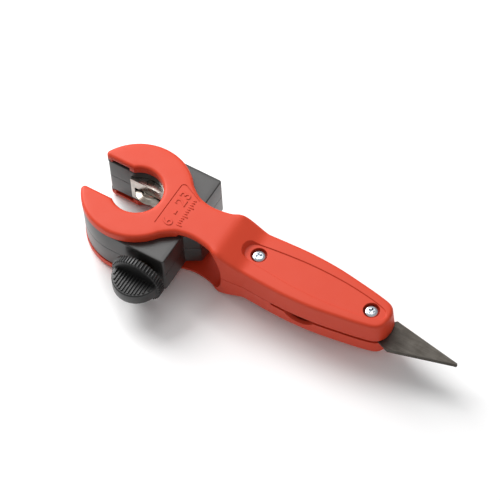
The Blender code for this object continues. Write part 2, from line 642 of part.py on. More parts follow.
def head_screw_places():
    jaw_x, jaw_y = JAW_SCREW_CIRCLE * math.cos(JAW_SCREW_ANGLE), JAW_SCREW_CIRCLE * math.sin(JAW_SCREW_ANGLE)
    corner_x = (POCKET_RIGHT_X + BLOCK_BACK) / 2
    corner_y = HEAD_RADIUS - 4.2 * MM
    return [(jaw_x, jaw_y), (jaw_x, -jaw_y), (corner_x, corner_y), (corner_x, -corner_y)]


def make_head(plastic, steel, brass):
    seat_z = -HEAD_HALF_HEIGHT + HEAD_SCREW_HEAD + 2 * SEAM_GAP
    for name, sign in (("head_upper", 1), ("head_lower", -1)):
        half = cut_head_insides(head_body(name, sign), sign)
        for number, (x, y) in enumerate(head_screw_places()):
            top = seat_z + HEAD_SCREW_DEPTH
            cut(half, cylinder(f"{name}_screw_hole_{number}", HEAD_SCREW_RADIUS + SEAM_GAP,
                               (x, y, -FAR), (x, y, top), 20), HEAD_AXIS)
            if sign < 0:
                cut(half, cylinder(f"{name}_screw_seat_{number}", HEAD_SCREW_HEAD_RADIUS + SEAM_GAP,
                                   (x, y, -FAR), (x, y, seat_z), 24), HEAD_AXIS)
        finish(half, HEAD_AXIS, plastic)
    for number, (x, y) in enumerate(head_screw_places()):
        screw = pan_head_screw(f"head_screw_{number + 1}", HEAD_SCREW_HEAD_RADIUS, HEAD_SCREW_HEAD,
                               HEAD_SCREW_RADIUS, HEAD_SCREW_DEPTH - SEAM_GAP)
        screw.rotation_euler = (math.pi, 0, 0)
        finish(screw, HEAD_AXIS, steel, (x, y, seat_z - SEAM_GAP))
    bush_inner = FEED_RADIUS + RUN_GAP
    start, end = HEAD_RADIUS - BUSH_LENGTH, HEAD_RADIUS
    bush = turned("feed_bush", [(bush_inner, end + BUSH_FLANGE + SEAM_GAP),
                                (bush_inner + BUSH_WALL + 1.6 * MM, end + BUSH_FLANGE + SEAM_GAP),
                                (bush_inner + BUSH_WALL + 1.6 * MM, end + SEAM_GAP),
                                (bush_inner + BUSH_WALL, end + SEAM_GAP), (bush_inner + BUSH_WALL, start),
                                (bush_inner, start), (bush_inner, end + BUSH_FLANGE + SEAM_GAP)], 32)
    bush.rotation_euler = (math.pi / 2, 0, 0)
    finish(bush, HEAD_AXIS, brass, (FEED_X, 0, 0))


def make_rollers(steel):
    """Two grooved rollers that the tube rests on, each on its own pin."""
    groove = ROLLER_GROOVE_HALF
    slope = ROLLER_RADIUS - ROLLER_GROOVE_RADIUS
    bore = ROLLER_PIN_RADIUS + SEAM_GAP
    half = ROLLER_HALF_LENGTH
    chamfer = 0.5 * MM
    profile = [(bore, half), (ROLLER_RADIUS - chamfer, half), (ROLLER_RADIUS, half - chamfer),
               (ROLLER_RADIUS, groove + slope * 0.5), (ROLLER_GROOVE_RADIUS, groove),
               (ROLLER_GROOVE_RADIUS, -groove), (ROLLER_RADIUS, -groove - slope * 0.5),
               (ROLLER_RADIUS, -half + chamfer), (ROLLER_RADIUS - chamfer, -half), (bore, -half),
               (bore, half)]
    for name, x in (("front", -ROLLER_X), ("rear", ROLLER_X)):
        axis = new_empty(name + "_roller_axis", HEAD_AXIS, (x, ROLLER_Y, 0))
        finish(turned(name + "_roller", profile, 40), axis, steel)
        reach = ROLLER_HALF_LENGTH + PIN_SEAT
        pin = cylinder(name + "_roller_pin", ROLLER_PIN_RADIUS, (0, 0, -reach), (0, 0, reach), 20)
        finish(pin, HEAD_AXIS, steel, (x, ROLLER_Y, 0))


def make_pawl(steel, spring_steel):
    """Bridge-shaped pawl: a bar behind the feed screw with an arm and a tooth at each end."""
    side = PAWL_WIDTH / 2
    reach = ARM_Z + PAWL_ARM
    pawl = box("pawl", (BAR_BACK - PAWL_BAR, -side, -reach), (BAR_BACK, side, reach))
    nose_x = TOOTH_ROOT_RADIUS + 0.6 * MM
    nose = [(nose_x, 0.05 * MM), (nose_x + 1.3 * MM, 0.25 * MM), (nose_x + 1.3 * MM, side),
            (nose_x + PAWL_NOSE - 0.4 * MM, side), (nose_x + PAWL_NOSE - 0.4 * MM, -side),
            (nose_x + 1.4 * MM, -side), (nose_x + 1.4 * MM, -1.2 * MM), (nose_x, -0.15 * MM)]
    for sign, end in ((1, "upper"), (-1, "lower")):
        low, high = sorted((sign * ARM_Z, sign * reach))
        arm = box("pawl_arm_" + end, (nose_x + 1.3 * MM, -side, low),
                  (BAR_BACK - PAWL_BAR / 2, side, high))
        add(pawl, arm, HEAD_AXIS)
        low, high = sorted((sign * (ARM_Z + 1.0 * MM), sign * (PLATE_UNDER + RATCHET_RING_THICKNESS)))
        add(pawl, prism("pawl_nose_" + end, nose, low, high), HEAD_AXIS)
    finish(pawl, HEAD_AXIS, steel)
    start, end = BAR_BACK + 0.2 * MM, BOSS_END - 1.6 * MM
    radius = PAWL_SPRING_RADIUS - PAWL_SPRING_WIRE / 2
    curve = bpy.data.curves.new("pawl_spring", "CURVE")
    curve.dimensions = "3D"
    curve.bevel_depth = PAWL_SPRING_WIRE / 2
    curve.bevel_resolution = 2
    curve.use_fill_caps = True
    steps = PAWL_SPRING_TURNS * 12
    spline = curve.splines.new("POLY")
    spline.points.add(steps)
    length = end - start - PAWL_SPRING_WIRE
    for step, point in enumerate(spline.points):
        angle = 2 * math.pi * step / 12
        x = start + PAWL_SPRING_WIRE / 2 + length * step / steps
        point.co = (x, radius * math.cos(angle), radius * math.sin(angle), 1)
    spring = bpy.data.objects.new("pawl_spring", curve)
    PARTS.objects.link(spring)
    finish(spring, HEAD_AXIS, spring_steel)


# ---------------------------------------------------------------- feed screw and knob

def make_feed(plastic, steel):
    """Feed screw with its collar, clip and knob, all turning round FEED_AXIS.

    FEED_AXIS has its own Z pointing out of the knob, so a height here is a distance towards -Y.
    """
    collar_top = HEAD_RADIUS - BUSH_LENGTH - SEAM_GAP
    clip_low = HEAD_RADIUS + BUSH_FLANGE + 2 * SEAM_GAP
    neck = FEED_RADIUS - 0.7 * MM
    end = KNOB_FACE - 1.4 * MM
    profile = [(0, end), (neck, end), (neck, KNOB_REAR - KNOB_HUB + 0.4 * MM)]
    profile += [(neck, clip_low - 0.1 * MM), (FEED_RADIUS, clip_low - 0.1 * MM), (FEED_RADIUS, collar_top),
                (FEED_COLLAR_RADIUS, collar_top), (FEED_COLLAR_RADIUS, collar_top - FEED_COLLAR_LENGTH),
                (FEED_RADIUS, collar_top - FEED_COLLAR_LENGTH), (FEED_RADIUS, -FEED_END_Y + 0.8 * MM),
                (FEED_RADIUS - 0.8 * MM, -FEED_END_Y), (0, -FEED_END_Y)]
    finish(turned("feed_screw", profile, 32), FEED_AXIS, steel)
    clip = turned_band("feed_clip", neck + SEAM_GAP, FEED_RADIUS + 2.2 * MM, clip_low,
                       clip_low + CLIP_THICKNESS, 32)
    cut(clip, box("feed_clip_gap", (0, -1.6 * MM, -FAR), (FAR, 1.6 * MM, FAR)), FEED_AXIS)
    finish(clip, FEED_AXIS, steel)

    outline = []
    for rib in range(KNOB_RIBS):
        for share, radius in ((0.0, KNOB_RADIUS - KNOB_RIB_DEPTH), (0.3, KNOB_RADIUS),
                              (0.7, KNOB_RADIUS)):
            angle = 2 * math.pi * (rib + share) / KNOB_RIBS
            outline.append((radius * math.cos(angle), radius * math.sin(angle)))
    knob = prism("knob", outline, KNOB_REAR, KNOB_FACE)
    hub_low = clip_low + CLIP_THICKNESS + 2 * SEAM_GAP
    add(knob, cylinder("knob_hub", KNOB_HUB_RADIUS, (0, 0, hub_low), (0, 0, KNOB_REAR + 1.0 * MM), 40),
        FEED_AXIS)
    half_disc = arc((0, PADDLE_CENTRE), PADDLE_RADIUS, 0, 180, 36)
    paddle = prism("knob_paddle", half_disc, -PADDLE_THICKNESS / 2, PADDLE_THICKNESS / 2)
    paddle.data.transform(Matrix.Rotation(math.radians(90), 4, "X"))
    add(knob, paddle, FEED_AXIS)
    cut(knob, cylinder("knob_bore", neck + SEAM_GAP, (0, 0, 0), (0, 0, end + SEAM_GAP), 24), FEED_AXIS)
    finish(knob, FEED_AXIS, plastic)


# ---------------------------------------------------------------- wheel carriage

def make_carriage(steel, brass, wheel_steel):
    """Sliding carriage with the brass nut, the wheel pin and the cutting wheel."""
    height = CARRIAGE_HALF_HEIGHT
    carriage = box("carriage", (-CARRIAGE_HALF_WIDTH, CARRIAGE_FRONT, -height),
                   (CARRIAGE_HALF_WIDTH, CARRIAGE_BACK, height))
    arm_height = height - 1.4 * MM
    inset = 0.6 * MM
    add(carriage, box("carriage_arm", (CARRIAGE_HALF_WIDTH - 2.0 * MM, CARRIAGE_FRONT + inset, -arm_height),
                      (CARRIAGE_ARM_END, CARRIAGE_BACK - inset, arm_height)), HEAD_AXIS)
    slot = WHEEL_HUB_THICKNESS / 2 + RUN_GAP
    width = WHEEL_RADIUS + RUN_GAP
    cut(carriage, box("wheel_slot", (-width, -FAR, -slot), (width, FAR, slot)), HEAD_AXIS)
    cut(carriage, cylinder("wheel_pin_hole", WHEEL_PIN_RADIUS + SEAM_GAP, (0, WHEEL_Y, -FAR),
                           (0, WHEEL_Y, FAR), 24), HEAD_AXIS)
    cut(carriage, cylinder("nut_hole", NUT_RADIUS + SEAM_GAP, (FEED_X, -FAR, 0), (FEED_X, FAR, 0), 32),
        HEAD_AXIS)
    finish(carriage, HEAD_AXIS, steel)

    low, high = CARRIAGE_FRONT + 0.9 * MM, CARRIAGE_BACK - 0.9 * MM
    nut = turned_band("feed_nut", FEED_RADIUS + RUN_GAP, NUT_RADIUS, -high, -low, 32)
    nut.rotation_euler = (math.pi / 2, 0, 0)
    finish(nut, HEAD_AXIS, brass, (FEED_X, 0, 0))
    reach = height - 0.3 * MM
    pin = cylinder("wheel_pin", WHEEL_PIN_RADIUS, (0, 0, -reach), (0, 0, reach), 24)
    finish(pin, HEAD_AXIS, wheel_steel, (0, WHEEL_Y, 0))

    hub = WHEEL_HUB_THICKNESS / 2
    bore = WHEEL_PIN_RADIUS + SEAM_GAP
    edge = WHEEL_EDGE / 2
    shoulder = WHEEL_RADIUS - 3.0 * MM
    profile = [(bore, hub), (WHEEL_HUB_RADIUS, hub), (WHEEL_HUB_RADIUS, hub * 0.6), (shoulder, hub * 0.6),
               (WHEEL_RADIUS, edge), (WHEEL_RADIUS, -edge), (shoulder, -hub * 0.6),
               (WHEEL_HUB_RADIUS, -hub * 0.6), (WHEEL_HUB_RADIUS, -hub), (bore, -hub), (bore, hub)]
    finish(turned("cutting_wheel", profile, 64), WHEEL_AXIS, wheel_steel)


def main():
    red = new_material("orange_red_plastic", (0.72, 0.08, 0.035), 0.45)
    black = new_material("black_plastic", (0.035, 0.034, 0.034), 0.42)
    knob_black = new_material("knob_plastic", (0.02, 0.02, 0.02), 0.5)
    zinc = new_material("zinc_plated_steel", (0.75, 0.77, 0.8), 0.28, 1.0)
    bright = new_material("polished_steel", (0.7, 0.69, 0.67), 0.2, 1.0)
    dark = new_material("dark_blade_steel", (0.14, 0.135, 0.13), 0.4, 1.0)
    brass = new_material("brass", (0.75, 0.56, 0.26), 0.3, 1.0)

    make_shell("upper_shell", 1, red)
    make_shell("lower_shell", -1, red)
    make_ratchet_ring("upper_ratchet_ring", 1, bright)
    make_ratchet_ring("lower_ratchet_ring", -1, bright)
    make_case_fasteners(zinc)
    make_pivot_parts(bright)
    make_blade(dark)
    make_head(black, zinc, brass)
    make_rollers(bright)
    make_pawl(bright, bright)
    make_feed(knob_black, bright)
    make_carriage(bright, brass, bright)


clear_scene()
PARTS = new_collection("tube_cutter")
CUTTERS = new_collection("cutters")
TOOL = new_empty("tool_frame", at=(-(BLADE_TIP_X + JAW_TIP_X) / 2, (KNOB_FRONT - RING_RADIUS) / 2,
                                   HALF_HEIGHT))
HEAD_AXIS = new_empty("head_axis", TOOL)
FEED_AXIS = new_empty("feed_axis", HEAD_AXIS, (FEED_X, 0, 0))
FEED_AXIS.rotation_euler = (math.pi / 2, 0, 0)
WHEEL_AXIS = new_empty("wheel_axis", HEAD_AXIS, (0, WHEEL_Y, 0))
BLADE_AXIS = new_empty("blade_axis", TOOL, (BLADE_PIVOT_X, 0, 0))
main()
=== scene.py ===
"""Looks for a ratcheting C-head tube cutter with a fold-out deburring blade.

Every length is in millimetres in the tool's own frame until a piece is finished: the ring's axis
is Z, the handle points along +X, the feed knob faces -Y, and Z is zero on the casing's seam.
"""
from __future__ import annotations

import json
import logging
import math
from dataclasses import dataclass
from enum import Enum
from typing import Callable, Iterable, Sequence

import bmesh
import bpy
from mathutils import Matrix, Vector
from mathutils.geometry import delaunay_2d_cdt

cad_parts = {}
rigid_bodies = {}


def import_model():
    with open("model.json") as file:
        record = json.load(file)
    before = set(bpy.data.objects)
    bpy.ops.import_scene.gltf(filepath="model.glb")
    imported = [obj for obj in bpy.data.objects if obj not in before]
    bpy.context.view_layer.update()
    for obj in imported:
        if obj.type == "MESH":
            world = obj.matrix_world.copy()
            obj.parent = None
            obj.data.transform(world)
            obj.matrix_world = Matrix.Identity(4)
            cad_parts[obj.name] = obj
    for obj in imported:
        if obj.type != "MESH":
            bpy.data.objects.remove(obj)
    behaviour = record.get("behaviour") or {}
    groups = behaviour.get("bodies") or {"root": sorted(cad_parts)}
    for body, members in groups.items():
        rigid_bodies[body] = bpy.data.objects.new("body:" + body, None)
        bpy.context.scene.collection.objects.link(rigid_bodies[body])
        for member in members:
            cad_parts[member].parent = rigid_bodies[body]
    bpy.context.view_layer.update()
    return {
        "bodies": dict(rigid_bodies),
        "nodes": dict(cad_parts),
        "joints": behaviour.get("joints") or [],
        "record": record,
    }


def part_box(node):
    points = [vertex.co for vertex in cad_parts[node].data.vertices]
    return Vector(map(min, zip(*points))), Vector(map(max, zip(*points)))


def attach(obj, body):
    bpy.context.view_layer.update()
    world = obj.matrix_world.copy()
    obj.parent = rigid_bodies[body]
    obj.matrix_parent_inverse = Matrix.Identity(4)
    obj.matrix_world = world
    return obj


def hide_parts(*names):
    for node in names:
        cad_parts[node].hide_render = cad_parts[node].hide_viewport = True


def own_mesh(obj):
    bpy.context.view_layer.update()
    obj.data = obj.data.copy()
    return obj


LOG = logging.getLogger("tube_cutter")
Point = tuple[float, float]
Tool = tuple[str, bpy.types.Object]
Place = tuple[Sequence[float], Sequence[float], Sequence[float]]
FAR = 400.0
SEAM = 0.15
# Turned cutters start off the X axis, so their edges never run along the ones they cut.
CUTTER_TURN = math.radians(1.1)
# Middle radius and angle of the two head screws in the jaws, and the far ones' inset from the block.
JAW_SCREW_CIRCLE, JAW_SCREW_ANGLE, CORNER_SCREW_INSET = 26.9, math.radians(132), 4.2


# ------------------------------------------------------------------ node trees

def srgb(code: str) -> tuple[float, float, float, float]:
    """Turn an sRGB hex colour into a linear one.

    Args:
        code: Six hex digits after a hash sign.

    Returns:
        Linear red, green and blue, with an alpha of 1.
    """
    parts = [int(code[start:start + 2], 16) / 255 for start in (1, 3, 5)]
    linear = [part / 12.92 if part <= 0.04045 else ((part + 0.055) / 1.055) ** 2.4 for part in parts]
    return linear[0], linear[1], linear[2], 1.0


def add_node(tree: bpy.types.NodeTree, kind: str, inputs: dict | None = None, **settings) -> bpy.types.Node:
    """Add a node with its settings, values and links.

    Args:
        tree: Node tree that gets the node.
        kind: Blender's name for the node type.
        inputs: Value or (node, output name) for each input, by name or index.
        settings: Properties of the node itself.

    Returns:
        The new node.
    """
    node = tree.nodes.new(kind)
    for name, value in settings.items():
        setattr(node, name, value)
    for key, value in (inputs or {}).items():
        if isinstance(value, tuple) and value and isinstance(value[0], bpy.types.Node):
            tree.links.new(value[0].outputs[value[1]], node.inputs[key])
        else:
            node.inputs[key].default_value = value
    return node


def start_material(name: str) -> tuple[bpy.types.Material, bpy.types.NodeTree, bpy.types.Node]:
    """Return a new node material with its tree and a node that gives the piece's coordinates."""
    material = bpy.data.materials.new(name)
    material.use_nodes = True
    return material, material.node_tree, add_node(material.node_tree, "ShaderNodeTexCoord")


def connect(tree: bpy.types.NodeTree, colour: bpy.types.Node, gloss: bpy.types.Node,
            height: tuple[bpy.types.Node, str], strength: float, depth_mm: float,
            edge_mm: float) -> bpy.types.Node:
    """Link colour, gloss and bump to a tree's shader.

    Args:
        tree: Node tree of the material.
        colour: Mix node of the base colour.
        gloss: Range node of the roughness.
        height: Node and output that the bump is made of.
        strength: Strength of the bump.
        depth_mm: Depth of the bump.
        edge_mm: Radius by which edges look rounded.

    Returns:
        The shader.
    """
    soft = add_node(tree, "ShaderNodeBevel", {"Radius": edge_mm / 1000}, samples=4)
    bump = add_node(tree, "ShaderNodeBump", {"Height": height, "Strength": strength,
                                             "Distance": depth_mm / 1000, "Normal": (soft, "Normal")})
    shader = tree.nodes["Principled BSDF"]
    tree.links.new(colour.outputs[2], shader.inputs["Base Color"])
    tree.links.new(gloss.outputs["Result"], shader.inputs["Roughness"])
    tree.links.new(bump.outputs["Normal"], shader.inputs["Normal"])
    return shader


class Lay(Enum):
    """Direction in which a metal surface was ground, as the stretch of its scratch pattern."""

    ALONG_X = (0.04, 1.0, 1.0)
    ALONG_Y = (1.0, 0.04, 1.0)
    EVEN = (1.0, 1.0, 1.0)


@dataclass(frozen=True)
class MouldedPlastic:
    """Injection-moulded plastic with a spark-eroded mould texture."""

    name: str
    colour: str
    worn: str
    roughness: float
    grain_mm: float
    grain_depth_mm: float
    sheen_patch: float = 0.05
    edge_mm: float = 0.4
    ior: float = 1.5

    def build(self) -> bpy.types.Material:
        """Build the material.

        Returns:
            The material, with colour drift, patchy gloss and a fine pebbled bump.
        """
        material, tree, place = start_material(self.name)
        drift = add_node(tree, "ShaderNodeTexNoise",
                         {"Vector": (place, "Object"), "Scale": 38.0, "Detail": 3.0, "Roughness": 0.55})
        colour = add_node(tree, "ShaderNodeMix",
                          {0: (drift, "Fac"), 6: srgb(self.colour), 7: srgb(self.worn)}, data_type="RGBA")
        patch = add_node(tree, "ShaderNodeTexNoise",
                         {"Vector": (place, "Object"), "Scale": 140.0, "Detail": 2.0})
        gloss = add_node(tree, "ShaderNodeMapRange",
                         {"Value": (patch, "Fac"), "To Min": self.roughness - self.sheen_patch,
                          "To Max": self.roughness + self.sheen_patch})
        grain = add_node(tree, "ShaderNodeTexVoronoi",
                         {"Vector": (place, "Object"), "Scale": 1000.0 / self.grain_mm},
                         feature="SMOOTH_F1")
        shader = connect(tree, colour, gloss, (grain, "Distance"), 0.35, self.grain_depth_mm, self.edge_mm)
        shader.inputs["IOR"].default_value = self.ior
        return material


@dataclass(frozen=True)
class GroundMetal:
    """Metal ground, turned or plated, with fine scratches along its lay."""

    name: str
    colour: str
    shade: str
    roughness: float
    scratch_mm: float
    lay: Lay
    scratch_depth_mm: float = 0.01
    edge_mm: float = 0.15

    def build(self) -> bpy.types.Material:
        """Build the material.

        Returns:
            The material, with scratches in its bump and roughness and a slow tarnish in its colour.
        """
        material, tree, place = start_material(self.name)
        stretch = add_node(tree, "ShaderNodeMapping", {"Vector": (place, "Object"), "Scale": self.lay.value})
        scratch = add_node(tree, "ShaderNodeTexNoise",
                           {"Vector": (stretch, "Vector"), "Scale": 1000.0 / self.scratch_mm, "Detail": 4.0,
                            "Roughness": 0.7})
        tarnish = add_node(tree, "ShaderNodeTexNoise",
                           {"Vector": (place, "Object"), "Scale": 160.0, "Detail": 3.0, "Roughness": 0.6})
        ramp = add_node(tree, "ShaderNodeMapRange", {"Value": (tarnish, "Fac"), "From Min": 0.35,
                                                     "From Max": 0.7})
        colour = add_node(tree, "ShaderNodeMix",
                          {0: (ramp, "Result"), 6: srgb(self.colour), 7: srgb(self.shade)}, data_type="RGBA")
        gloss = add_node(tree, "ShaderNodeMapRange",
                         {"Value": (scratch, "Fac"), "From Min": 0.3, "From Max": 0.7,
                          "To Min": self.roughness * 0.7, "To Max": self.roughness * 1.35})
        shader = connect(tree, colour, gloss, (scratch, "Fac"), 0.4, self.scratch_depth_mm, self.edge_mm)
        shader.inputs["Metallic"].default_value = 1.0
        return material


# Glass-filled nylon, moulded in orange-red: satin, with a fine pebble and a slight drift in shade.
NYLON = MouldedPlastic("orange_red_nylon", "#CB3B1F", "#D04225", 0.5, 0.45, 0.02, ior=1.38)
# Black glass-filled nylon of the head: satin, scuffed a little greyer where it slides.
HEAD_NYLON = MouldedPlastic("black_nylon", "#2B2A29", "#363433", 0.3, 0.4, 0.006, 0.03)
# Black ABS knob: duller and darker than the head, with a coarser moulded grain.
KNOB_ABS = MouldedPlastic("black_abs", "#0E0E0E", "#171717", 0.36, 0.5, 0.02)
# Zinc-plated steel screws and nuts: bright, slightly blue.
ZINC = GroundMetal("zinc_plated_steel", "#D5DBE0", "#A9B2BA", 0.24, 0.3, Lay.EVEN)
# Ground tool steel of the carriage: bright with a lay along the slide.
CARRIAGE_STEEL = GroundMetal("ground_steel", "#CDC9C2", "#A39E96", 0.22, 0.35, Lay.ALONG_X)
# Hardened wheel steel: polished, with a warm straw tint.
WHEEL_STEEL = GroundMetal("hardened_wheel_steel", "#CFC8BE", "#9C9186", 0.2, 0.3, Lay.EVEN)
# Plain turned steel of the pins, rollers, rings and pawl.
TURNED_STEEL = GroundMetal("turned_steel", "#B9B6B0", "#8E8A83", 0.28, 0.35, Lay.EVEN)
# Oxide-darkened spring steel of the blade, ground along its length.
BLADE_STEEL = GroundMetal("oxide_dark_steel", "#5A5651", "#4C4843", 0.5, 0.4, Lay.ALONG_X, 0.012)
# Edge of the blade, ground bright after the dark finish.
EDGE_STEEL = GroundMetal("ground_blade_edge", "#6E6A64", "#5B5751", 0.4, 0.3, Lay.ALONG_Y)
# Turned bearing brass, slightly dulled.
BRASS = GroundMetal("turned_brass", "#C9A25E", "#A9813F", 0.27, 0.35, Lay.EVEN)
# Feed bush, a bronze piece, coloured near black and dull as painted shade: the dark stands in for the shade
# in the gap behind the knob.
PAINTED_SHADE_BUSH = GroundMetal("sintered_bronze", "#33291D", "#261F16", 0.5, 0.3, Lay.EVEN)


class Finishes:
    """Materials, each built once."""

    def __init__(self) -> None:
        """Start with no material built."""
        self.built: dict[str, bpy.types.Material] = {}

    def get(self, finish: MouldedPlastic | GroundMetal) -> bpy.types.Material:
        """Return the material of a finish, building it at its first use."""
        if finish.name not in self.built:
            self.built[finish.name] = finish.build()
        return self.built[finish.name]


# ------------------------------------------------------------------ mesh helpers

def arc(centre: Point, radius: float, start: float, end: float, count: int) -> list[Point]:
    """Return points on an arc, angles in degrees, both ends included."""
    angles = [math.radians(start + (end - start) * step / count) for step in range(count + 1)]
    return [(centre[0] + radius * math.cos(a), centre[1] + radius * math.sin(a)) for a in angles]


def smooth(points: Sequence[Point], per_span: int) -> list[Point]:
    """Return points on a Catmull-Rom curve.

    Args:
        points: Points that the curve goes through.
        per_span: Points made for each span between two of them.

    Returns:
        The curve's points, its two ends included.
    """
    result: list[Point] = []
    for index in range(len(points) - 1):
        before = Vector(points[max(index - 1, 0)])
        start, end = Vector(points[index]), Vector(points[index + 1])
        after = Vector(points[min(index + 2, len(points) - 1)])
        for step in range(per_span):
            t = step / per_span
            point = 0.5 * ((2 * start) + (end - before) * t
                           + (2 * before - 5 * start + 4 * end - after) * t ** 2
                           + (3 * start - before - 3 * end + after) * t ** 3)
            result.append((point.x, point.y))
    return result + [tuple(points[-1])]


def link_object(name: str, data: bpy.types.ID) -> bpy.types.Object:
    """Make an object of a mesh, text, camera or lamp and link it to the scene."""
    piece = bpy.data.objects.new(name, data)
    bpy.context.scene.collection.objects.link(piece)
    return piece


def new_object(name: str, bm: bmesh.types.BMesh) -> bpy.types.Object:
    """Make an object of a bmesh, which is freed, with its faces outwards."""
    bmesh.ops.recalc_face_normals(bm, faces=bm.faces)
    mesh = bpy.data.meshes.new(name)
    bm.to_mesh(mesh)
    bm.free()
    return link_object(name, mesh)


def box(low: Sequence[float], high: Sequence[float]) -> bpy.types.Object:
    """Return a box between two corners."""
    bm = bmesh.new()
    bmesh.ops.create_cube(bm, size=1.0)
    size = Vector(high) - Vector(low)
    bmesh.ops.scale(bm, vec=size, verts=bm.verts)
    bmesh.ops.translate(bm, vec=(Vector(high) + Vector(low)) / 2, verts=bm.verts)
    return new_object("box", bm)


def rod(radius: float, start: Sequence[float], end: Sequence[float], segments: int = 64,
        tip: float | None = None) -> bpy.types.Object:
    """Return a cylinder, or a cone where a tip radius is given, between two points."""
    first, last = Vector(start), Vector(end)
    bm = bmesh.new()
    bmesh.ops.create_cone(bm, cap_ends=True, segments=segments, radius1=radius,
                          radius2=radius if tip is None else tip, depth=(last - first).length)
    turn = Vector((0, 0, 1)).rotation_difference(last - first).to_matrix().to_4x4()
    bmesh.ops.transform(bm, matrix=Matrix.Translation((first + last) / 2) @ turn, verts=bm.verts)
    return new_object("rod", bm)


def prism(outline: Sequence[Point], low: float, high: float) -> bpy.types.Object:
    """Return a flat outline in X and Y filled and raised from one height to another."""
    bm = bmesh.new()
    verts = [bm.verts.new((x, y, low)) for x, y in outline]
    face = bm.faces.new(verts)
    raised = bmesh.ops.extrude_face_region(bm, geom=[face])
    moved = [item for item in raised["geom"] if isinstance(item, bmesh.types.BMVert)]
    bmesh.ops.translate(bm, vec=(0, 0, high - low), verts=moved)
    return new_object("prism", bm)


def turned(profile: Sequence[Point], steps: int = 96, start_angle: float = 0.0) -> bpy.types.Object:
    """Return a profile of (radius, height) points turned round Z.

    Args:
        profile: Points of the section, on the axis at both ends or closed on itself.
        steps: Segments in the full turn.
        start_angle: Where the turn starts, in radians.

    Returns:
        The turned solid.
    """
    bm = bmesh.new()
    closed = profile[0] == profile[-1]
    points = list(profile[:-1] if closed else profile)
    rings = []
    for radius, height in points:
        if radius < 1e-6:
            rings.append([bm.verts.new((0, 0, height))])
            continue
        angles = [start_angle + 2 * math.pi * step / steps for step in range(steps)]
        rings.append([bm.verts.new((radius * math.cos(a), radius * math.sin(a), height)) for a in angles])
    pairs = list(zip(rings, rings[1:])) + ([(rings[-1], rings[0])] if closed else [])
    for upper, lower in pairs:
        for step in range(steps):
            after = (step + 1) % steps
            if len(upper) == 1:
                bm.faces.new((upper[0], lower[step], lower[after]))
            elif len(lower) == 1:
                bm.faces.new((upper[step], lower[0], upper[after]))
            else:
                bm.faces.new((upper[step], lower[step], lower[after], upper[after]))
    return new_object("turned", bm)


def band(inner: float, outer: float, low: float, high: float, steps: int = 96,
         start_angle: float = 0.0) -> bpy.types.Object:
    """Return a ring of rectangular section."""
    section = [(inner, high), (outer, high), (outer, low), (inner, low), (inner, high)]
    return turned(section, steps, start_angle)


def cut(solid: bpy.types.Object) -> Tool:
    """Return a solid as one to be cut away."""
    return "DIFFERENCE", solid


def add(solid: bpy.types.Object) -> Tool:
    """Return a solid as one to be joined on."""
    return "UNION", solid


def combine(target: bpy.types.Object, tools: Iterable[Tool]) -> bpy.types.Object:
    """Cut and join closed solids.

    Args:
        target: Solid that is worked on.
        tools: Solids to cut away or join on, used up in order.

    Returns:
        The target with the result as its mesh.
    """
    used = []
    for operation, tool in tools:
        modifier = target.modifiers.new(operation, "BOOLEAN")
        modifier.object = tool
        modifier.operation = operation
        modifier.solver = "EXACT"
        used.append(tool)
    flatten(target)
    for tool in used:
        bpy.data.objects.remove(tool, do_unlink=True)
    return target


def flatten(piece: bpy.types.Object) -> bpy.types.Object:
    """Replace an object's mesh by what its modifiers make of it, and drop the modifiers."""
    bpy.context.view_layer.update()
    evaluated = piece.evaluated_get(bpy.context.evaluated_depsgraph_get())
    mesh = bpy.data.meshes.new_from_object(evaluated)
    piece.modifiers.clear()
    piece.data = mesh
    return piece


def round_edges(piece: bpy.types.Object, width: float, segments: int = 3,
                angle: float = 40.0) -> bpy.types.Object:
    """Round the sharp edges of a solid."""
    modifier = piece.modifiers.new("round", "BEVEL")
    modifier.width = width
    modifier.segments = segments
    modifier.limit_method = "ANGLE"
    modifier.angle_limit = math.radians(angle)
    return flatten(piece)


def mirror_down(piece: bpy.types.Object) -> bpy.types.Object:
    """Mirror a half built above the seam to below it, keeping its faces outward."""
    piece.data.transform(Matrix.Scale(-1, 4, (0, 0, 1)))
    piece.data.flip_normals()
    return piece


def inside(outline: Sequence[Point], x: float, y: float) -> bool:
    """Say whether a point lies inside a closed outline."""
    found = False
    for (x1, y1), (x2, y2) in zip(outline, list(outline[1:]) + [outline[0]]):
        if (y1 > y) != (y2 > y) and x < (x2 - x1) * (y - y1) / (y2 - y1) + x1:
            found = not found
    return found


def clearance(outline: Sequence[Point], x: float, y: float) -> float:
    """Return the distance from a point to the nearest corner of an outline."""
    return min(math.hypot(px - x, py - y) for px, py in outline)


